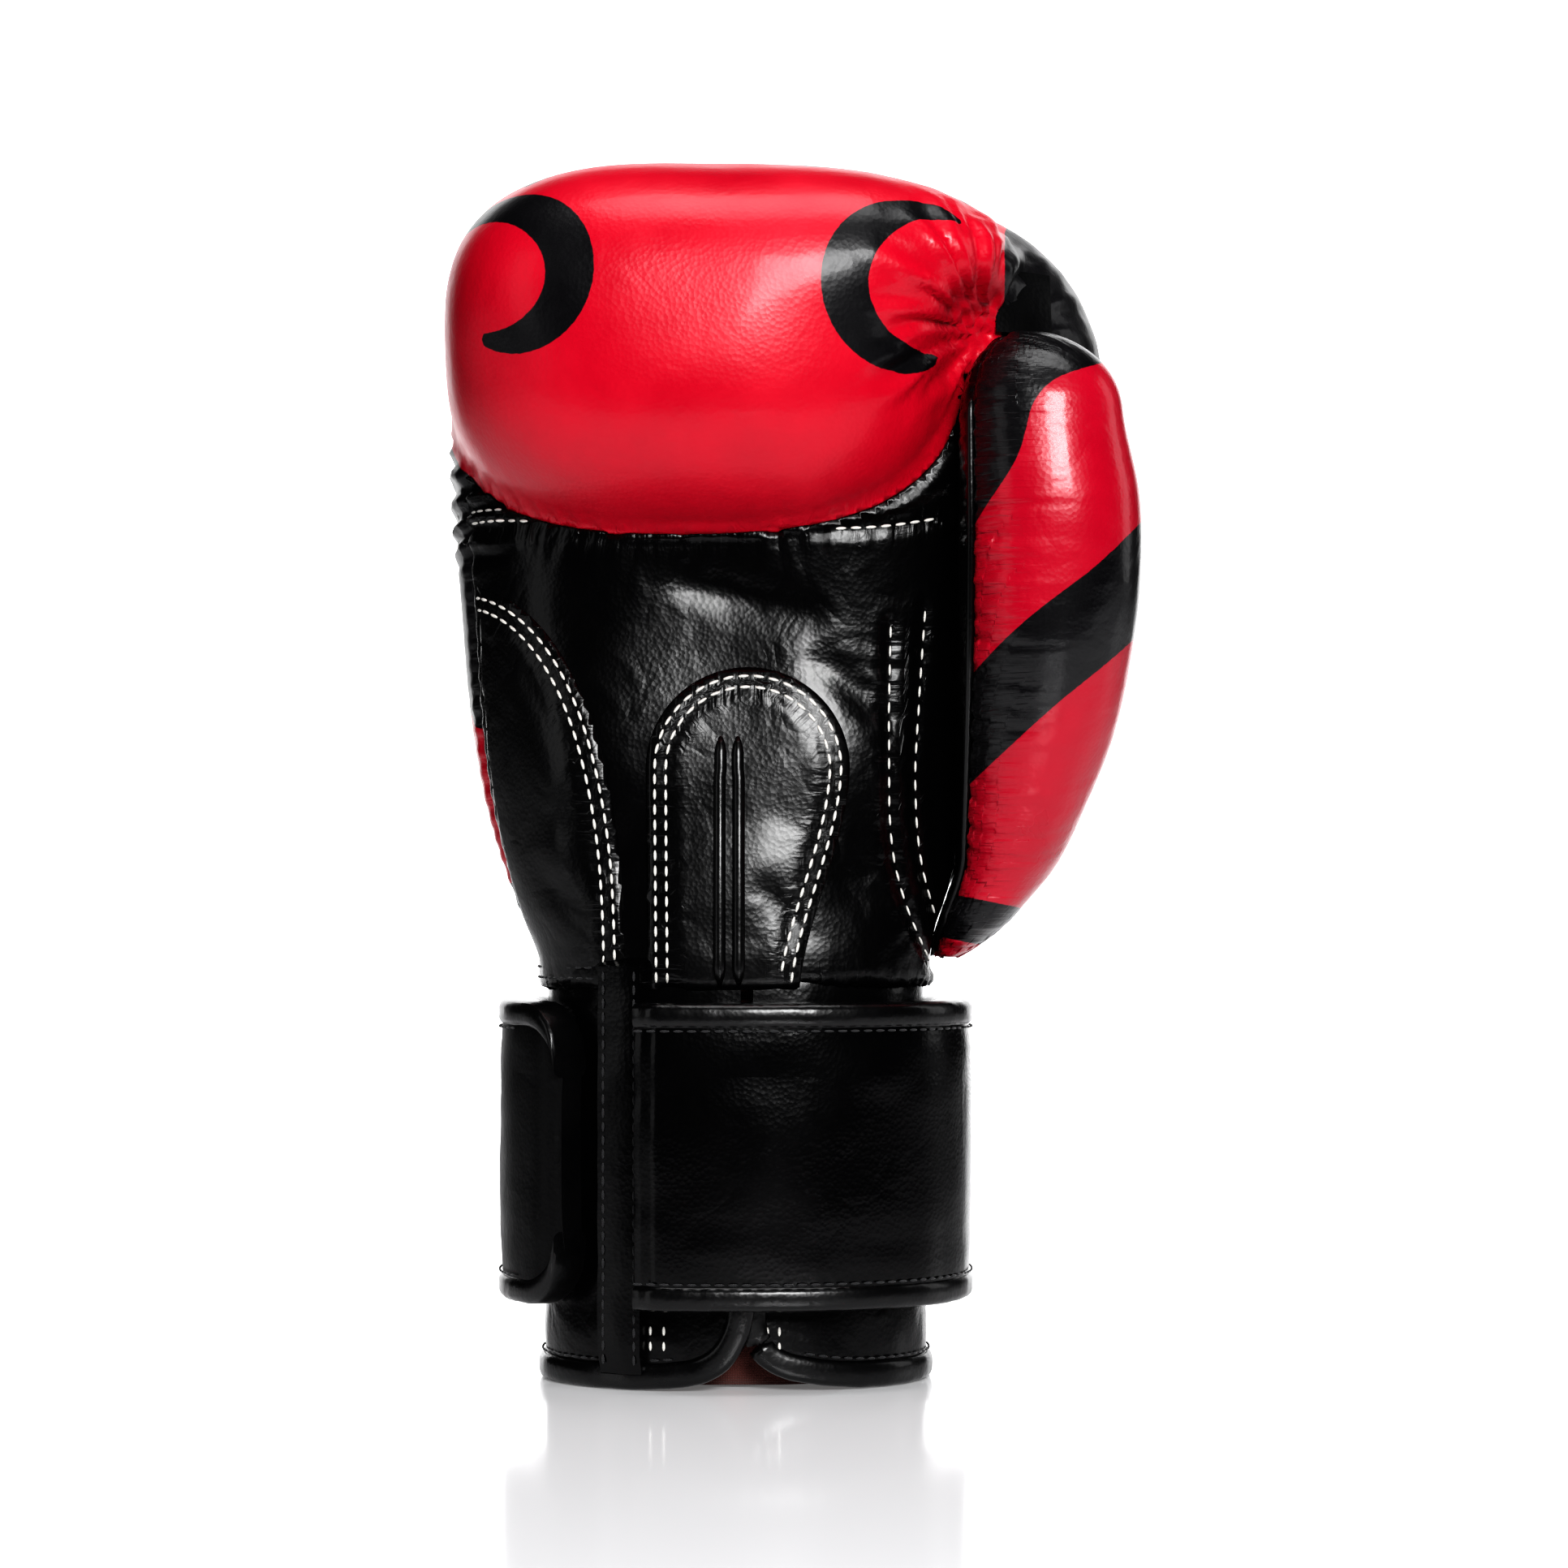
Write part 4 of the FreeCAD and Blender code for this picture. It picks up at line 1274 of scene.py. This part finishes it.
cuffWallPiece("cuffPanel", -83.5, 236.0, ["cuff_panel", "cuff_foam"])
cuffWallPiece("cuffFlap", 236.3, 272.5, ["cuff_flaps"])


def rimBinding(name, replaces):
    # a rolled strip: round outside and below, wrapped under the wall to the lining
    points = [cuffPoint(p.x, p.y * mm, p.z * mm) for p in rimWay]
    count = len(points)
    section = []
    for i in range(28):
        a = 2 * math.pi * i / 28
        section.append([math.copysign(abs(c) ** 0.75, c) for c in (math.cos(a), math.sin(a))])

    def place(turn, level):
        i = int(round(turn / (2 * math.pi) * 28)) % 28
        p = points[level]
        along = (points[min(level + 1, count - 1)] - points[max(level - 1, 0)]).normalized()
        d = rimWay[level].x
        out = Vector((math.cos(math.radians(d)), math.sin(math.radians(d)), 0))
        out = (out - along * out.dot(along)).normalized()
        up = along.cross(out) if along.cross(out).z > 0 else out.cross(along)
        if abs(up.z) < 0.5:
            up = out.cross(along) if level > count / 2 else along.cross(out)
        inward = 2.6 * mm + (rim["inner"] - 2.6 * mm) * ease(d, 300, 318) * (1 - ease(d, 590, 606))
        n, t = section[i]
        n = n * rim["bulge"] if n > 0 else n * inward
        return p + out * n + up * (t * rim["half"])

    bm = tube(28, count, place)
    moveAlongNormals(bm, lambda v: 0.14 * mm * ripple(v.co, 4 * mm, 3.3))
    return finishPiece(name, bm, pipingLeather, "glove", replaces)


rimBinding("rimBinding", ["cuff_binding"])
rimStitchLine = [cuffPoint(p.x, (p.y + 1.0) * mm, (p.z + 3.9) * mm) for p in rimWay if 292 < p.x < 612]


lining = {
    # height, then how far it reaches to the little-finger side, thumb side, front and back, in millimetres
    "sleeve": [
        (0.6, -37.9, 37.9, -29.9, 29.9),
        (60, -37.9, 37.9, -29.9, 29.9),
        (100, -38.2, 37.6, -29.8, 29.9),
        (126, -43, 37, -28, 30),
        (160, -45.2, 35.3, -26.5, 29),
        (205, -45, 35, -27, 28),
        (233, -44, 34, -38, 21),
        (247, -42, 32, -40, 12),
        (256, -30, 20, -30, 0),
    ],
    "rows": 70,
    "columns": 110,
    "folds": 0.5 * mm,
}


def liningForm():
    low, high = lining["sleeve"][0][0], lining["sleeve"][-1][0]

    def place(turn, level):
        z = low + (high - low) * level / (lining["rows"] - 1)
        x, y = ovalPoint(turn, *(glide(lining["sleeve"], k, z) for k in (1, 2, 3, 4)), 2.3 if z < 110 else 2.5)
        fold = lining["folds"] * ripple((x * mm, y * mm, z * mm * 0.3), 7 * mm, 14.0)
        return Vector((x * mm, y * mm, z * mm)) + Vector((x, y, 0)).normalized() * (fold - 0.4 * mm)

    return tube(lining["columns"], lining["rows"], place, capStart=False)


finishPiece("handLining", liningForm(), liningCloth, "glove", ["hand_lining"], thick=0.8 * mm)
giveMaterial("grip_bar", foamSkin)

# Neck: a raised band with three rows of black stitches
neck = {"low": neckZ - 7.5 * mm, "high": neckZ + 2.5 * mm}
bandPiece("neckBand", slabProfile(-1.0 * mm, 1.3 * mm, neck["low"], neck["high"], 16, 0.9 * mm), spread(22, 227, 2.0),
          palmLeather, "glove", ["neck_band"], relief=lambda v: 0.3 * mm * ripple(v.co, 7 * mm, 2.0))
darkStitch = {"width": 0.6 * mm, "length": 2.4 * mm, "pitch": 3.3 * mm}


def ringLine(start, end, offset, z, step=1.5):
    return [cuffPoint(d, offset, z) for d in spread(start, end, step)]


stitchPiece("rimStitches", [rimStitchLine], blackThread, settings=darkStitch)
flapRows = [[cuffPoint(d, 0.75 * mm, (9 + 0.5 * k) * mm) for k in range(17)] for d in (241.5, 246.0, 281.5, 285.5)]
stitchPiece("flapStitches", flapRows, whiteThread, settings={"length": 2.3 * mm})
neckRows = [ringLine(25, 225, offset * mm, neckZ + up * mm) for offset, up in ((2.1, -4.6), (2.2, -2.0), (1.9, 0.6))]
stitchPiece("neckStitches", neckRows, blackThread, settings=darkStitch)

# Upright strip that holds the strap's root, with two rows of stitches
strip = {"start": 227.0, "end": 240.5, "low": 4 * mm, "high": neckZ + 1 * mm}
bandPiece("anchorStrip", slabProfile(-0.5 * mm, 4.2 * mm, strip["low"], strip["high"], 40, 0.0),
          spread(strip["start"], strip["end"], 1.1), strapLeather, "glove",
          ["anchor_strip", "strap_root"], relief=lambda v: 0.25 * mm * ripple(v.co, 9 * mm, 5.0))


def uprightLine(deg, offset, low, high):
    count = int((high - low) / (2 * mm))
    return [cuffPoint(deg, offset, low + (high - low) * i / count) for i in range(count + 1)]


stripRows = [uprightLine(d, 4.35 * mm, strip["low"] + 2 * mm, strip["high"] - 2 * mm) for d in (229.0, 238.8)]
stitchPiece("anchorStitches", stripRows, blackThread, settings=darkStitch)


# Strap: padded slab with rolled bindings, in five lengths; those over a hinge have their place baked in and ride on
# neither body

stage("strap")
strapZ = (strapLow.z, strapHigh.z)
strap = {
    "inner": 3.9 * mm,
    "outer": 10.6 * mm,
    "crown": 1.1 * mm,
    "bindOuter": 12.1 * mm,
    "bindInner": 2.5 * mm,
    "bindTall": 6.6 * mm,
    "rootTurn": 242.3,
    "hinges": {"thumbSide": 355.0, "back": 496.0},
    "endTurn": 581.0,
    "bendHalf": 14.0,      # half the bending stretch, in degrees round the cuff
    "endRadius": 12 * mm,
    "arm": 52 * mm,        # radius that turns degrees into a length along the strap
}


def strapSpans():
    a, b = strap["hinges"]["thumbSide"], strap["hinges"]["back"]
    h = strap["bendHalf"]
    return [
        ("Front", strap["rootTurn"], a - h, "strap_front", None),
        ("ThumbSideBend", a - h, a + h, None, ("strap_front", "strap_back", a)),
        ("Back", a + h, b - h, "strap_back", None),
        ("BackBend", b - h, b + h, None, ("strap_back", "strap_end", b)),
        ("End", b + h, strap["endTurn"], "strap_end", None),
    ]


def bendOf(pair):
    if not pair:
        return None
    first, second, hinge = pair
    mid = (strapZ[0] + strapZ[1]) / 2
    reach = strap["bendHalf"] * 0.8
    return first, second, tuple(cuffPoint(hinge - reach, 12 * mm, mid)), tuple(cuffPoint(hinge + reach, 12 * mm, mid))


def edgeShift(deg):
    # the free end's corners are round: how far each edge comes in near the end
    arc = math.radians(strap["endTurn"] - deg) * cuffPoint(deg, 8 * mm, 0).length
    r = strap["endRadius"]
    return 0.0 if arc >= r else r - math.sqrt(max(r * r - (r - arc) ** 2, 0.0))


def fromRoot(deg, length):
    # 1 at the strap's root, 0 at this length from it
    return 1 - ease(math.radians(deg - strap["rootTurn"]) * strap["arm"], 0, length)


def strapSlab(name, start, end, body, pair, replaces):
    low, high = strapZ[0] + 1.2 * mm, strapZ[1] - 1.2 * mm

    def point(offset, t):
        def at(deg):
            shift = edgeShift(deg)
            z = low + shift + (high - low - 2 * shift) * t
            if offset < 8 * mm:      # the flat inner face
                return offset, z
            puff = strap["crown"] * (1 - (2 * t - 1) ** 4)
            last = 1 - ease(math.radians(strap["endTurn"] - deg) * strap["arm"], 0, 9 * mm)
            return offset + puff - 2.2 * mm * fromRoot(deg, 7 * mm) - 2.0 * mm * last**2, z
        return at

    def relief(v):
        tug = 0.35 * mm * ripple((v.co.x, v.co.y, v.co.z * 2.6), 22 * mm, 8.0)
        return tug + 0.1 * mm * ripple((v.co.x * 0.6, v.co.y * 0.6, v.co.z * 2.0), 7 * mm, 18.0)

    profile = [point(o, t) for o, t in slabProfile(strap["inner"], strap["outer"], 0.0, 1.0, 26, 0.0, corner=0.0)]
    mat = tabLeather if name.endswith("End") else strapLeather
    bandPiece(name, profile, spread(start, end, 1.2), mat, body, replaces,
              blend=bendOf(pair), relief=relief)


def strapBinding(name, start, end, body, pair, replaces, upper):
    # a rolled strip over one edge of the strap
    mid, half = (strap["bindOuter"] + strap["bindInner"]) / 2, (strap["bindOuter"] - strap["bindInner"]) / 2

    def point(degrees):
        c, s = math.cos(math.radians(degrees)), math.sin(math.radians(degrees))
        c, s = math.copysign(abs(c) ** 0.5, c), math.copysign(abs(s) ** 0.7, s)

        def at(deg):
            rise = strap["bindTall"] * (0.5 + 0.5 * s) + edgeShift(deg)
            root = 1.6 * mm * fromRoot(deg, 6 * mm) if c > 0 else 0.0
            return mid + half * c - root, strapZ[1] - rise if upper else strapZ[0] + rise
        return at

    profile = [point(i * 360 / 22) for i in range(22)]
    bandPiece(name, profile, spread(start, end, 1.2), pipingLeather, body, replaces,
              blend=bendOf(pair), relief=lambda v: 0.13 * mm * ripple(v.co, 3.5 * mm, 40.0))


for label, start, end, body, pair in strapSpans():
    layers = [f"{body}_{layer}" for layer in ("cover", "foam", "backing")] if body else []
    strapSlab("strap" + label, start, end, body, pair, layers)
    strapBinding(f"strapUpperBinding{label}", start, end, body, pair, [f"{body}_binding"] if body else [], True)
    strapBinding(f"strapLowerBinding{label}", start, end, body, pair, [], False)
    inset = strap["bindTall"] + 0.2 * mm
    stop = end - 13 if label == "End" else end
    rows = [ringLine(start + 0.5, stop, strap["outer"] + 1.2 * mm, z) for z in (strapZ[0] + inset, strapZ[1] - inset)]
    stitchPiece("strapStitches" + label, rows, blackThread, body, darkStitch, bendOf(pair))

for node, mat in (("loop_patch", loopPile), ("strap_back_hook_tape", hookTape), ("strap_end_hook_tape", hookTape),
                  ("thumb_tether", tabLeather)):
    giveMaterial(node, mat)


# Studio

stage("studio")
studio = {
    "keyPower": 23.0,
    "fillPower": 1.6,
    "topPower": 8.0,
    "rimPower": 1.6,
    "backdrop": 1.15,    # how bright the white backdrop looks
    "table": 0.12,       # light that comes up through the white table
    "around": 0.015,     # light that the rest of the room sends back
}
floorBm = bmesh.new()
bmesh.ops.create_grid(floorBm, x_segments=1, y_segments=1, size=6.0)
bmesh.ops.translate(floorBm, vec=(0, 5.64, 0), verts=floorBm.verts)
floor = asObject("floor", floorBm)
# glossy white acrylic, lit from below
white = (1, 1, 1, 1)
floorMat = newMaterial("glossyWhiteAcrylic", {
    "Base Color": colour("#f0f0f2"), "Roughness": 0.1, "IOR": 1.4,
    "Emission Color": white, "Emission Strength": studio["table"]})[0]
floor.data.materials.append(floorMat)
cardBm = bmesh.new()
bmesh.ops.create_grid(cardBm, x_segments=1, y_segments=1, size=1.0)
upright = Matrix.Translation((0, 1.9, 0.75)) @ Matrix.Rotation(math.radians(90), 4, "X")
bmesh.ops.transform(cardBm, matrix=upright @ Matrix.Diagonal((1.1, 0.75, 1, 1)), verts=cardBm.verts)
card = asObject("backdrop", cardBm)
# white paper roll, lit from both sides
cardMat = newMaterial("whiteBackdropPaper", {
    "Base Color": white, "Roughness": 0.9,
    "Emission Color": white, "Emission Strength": studio["backdrop"]})[0]
card.data.materials.append(cardMat)

world = bpy.data.worlds.new("studioWhite")
bpy.context.scene.world = world
world.use_nodes = True
roomTree = world.node_tree
room = roomTree.nodes["Background"]
room.inputs["Color"].default_value = white
room.inputs["Strength"].default_value = studio["around"]
backdrop = addNode(roomTree, "ShaderNodeBackground", {}, {"Color": white, "Strength": studio["backdrop"]})
seen = addNode(roomTree, "ShaderNodeLightPath")
mixed = addNode(roomTree, "ShaderNodeMixShader", {}, {},
                {0: seen.outputs["Is Camera Ray"], 1: room.outputs[0], 2: backdrop.outputs[0]})
roomTree.links.new(mixed.outputs[0], roomTree.nodes["World Output"].inputs["Surface"])


def softbox(name, place, aim, width, height, power):
    light = bpy.data.lights.new(name, "AREA")
    light.shape = "RECTANGLE"
    light.size, light.size_y = width, height
    light.energy = power
    obj = bpy.data.objects.new(name, light)
    bpy.context.scene.collection.objects.link(obj)
    obj.location = place
    obj.rotation_euler = (Vector(aim) - Vector(place)).to_track_quat("-Z", "Y").to_euler()
    return obj


middle = Vector((0, 0, 0.16))
softbox("keyBox", (0.36, -1.45, 0.72), middle, 0.55, 0.55, studio["keyPower"])
softbox("fillBox", (-1.25, -0.75, 0.55), middle, 0.5, 1.1, studio["fillPower"])
softbox("topBox", (0.1, -0.25, 1.5), middle, 0.9, 0.7, studio["topPower"])
softbox("rimBox", (1.3, 0.35, 0.6), middle, 0.4, 1.0, studio["rimPower"])

camera = bpy.data.objects.new("camera", bpy.data.cameras.new("camera"))
bpy.context.scene.collection.objects.link(camera)
view = {"height": 0.120, "distance": 1.06, "across": 0.012, "frame": 0.392, "shift": 0.07}
camera.location = (view["across"], -view["distance"], view["height"])
camera.rotation_euler = (math.radians(90), 0, 0)
camera.data.sensor_width = 36
camera.data.lens = 36 * view["distance"] / view["frame"]
camera.data.shift_y = view["shift"]
camera.data.clip_end = 50
bpy.context.scene.camera = camera
bpy.context.scene.view_settings.view_transform = "Standard"
bpy.context.scene.view_settings.look = "High Contrast"

stage("done")
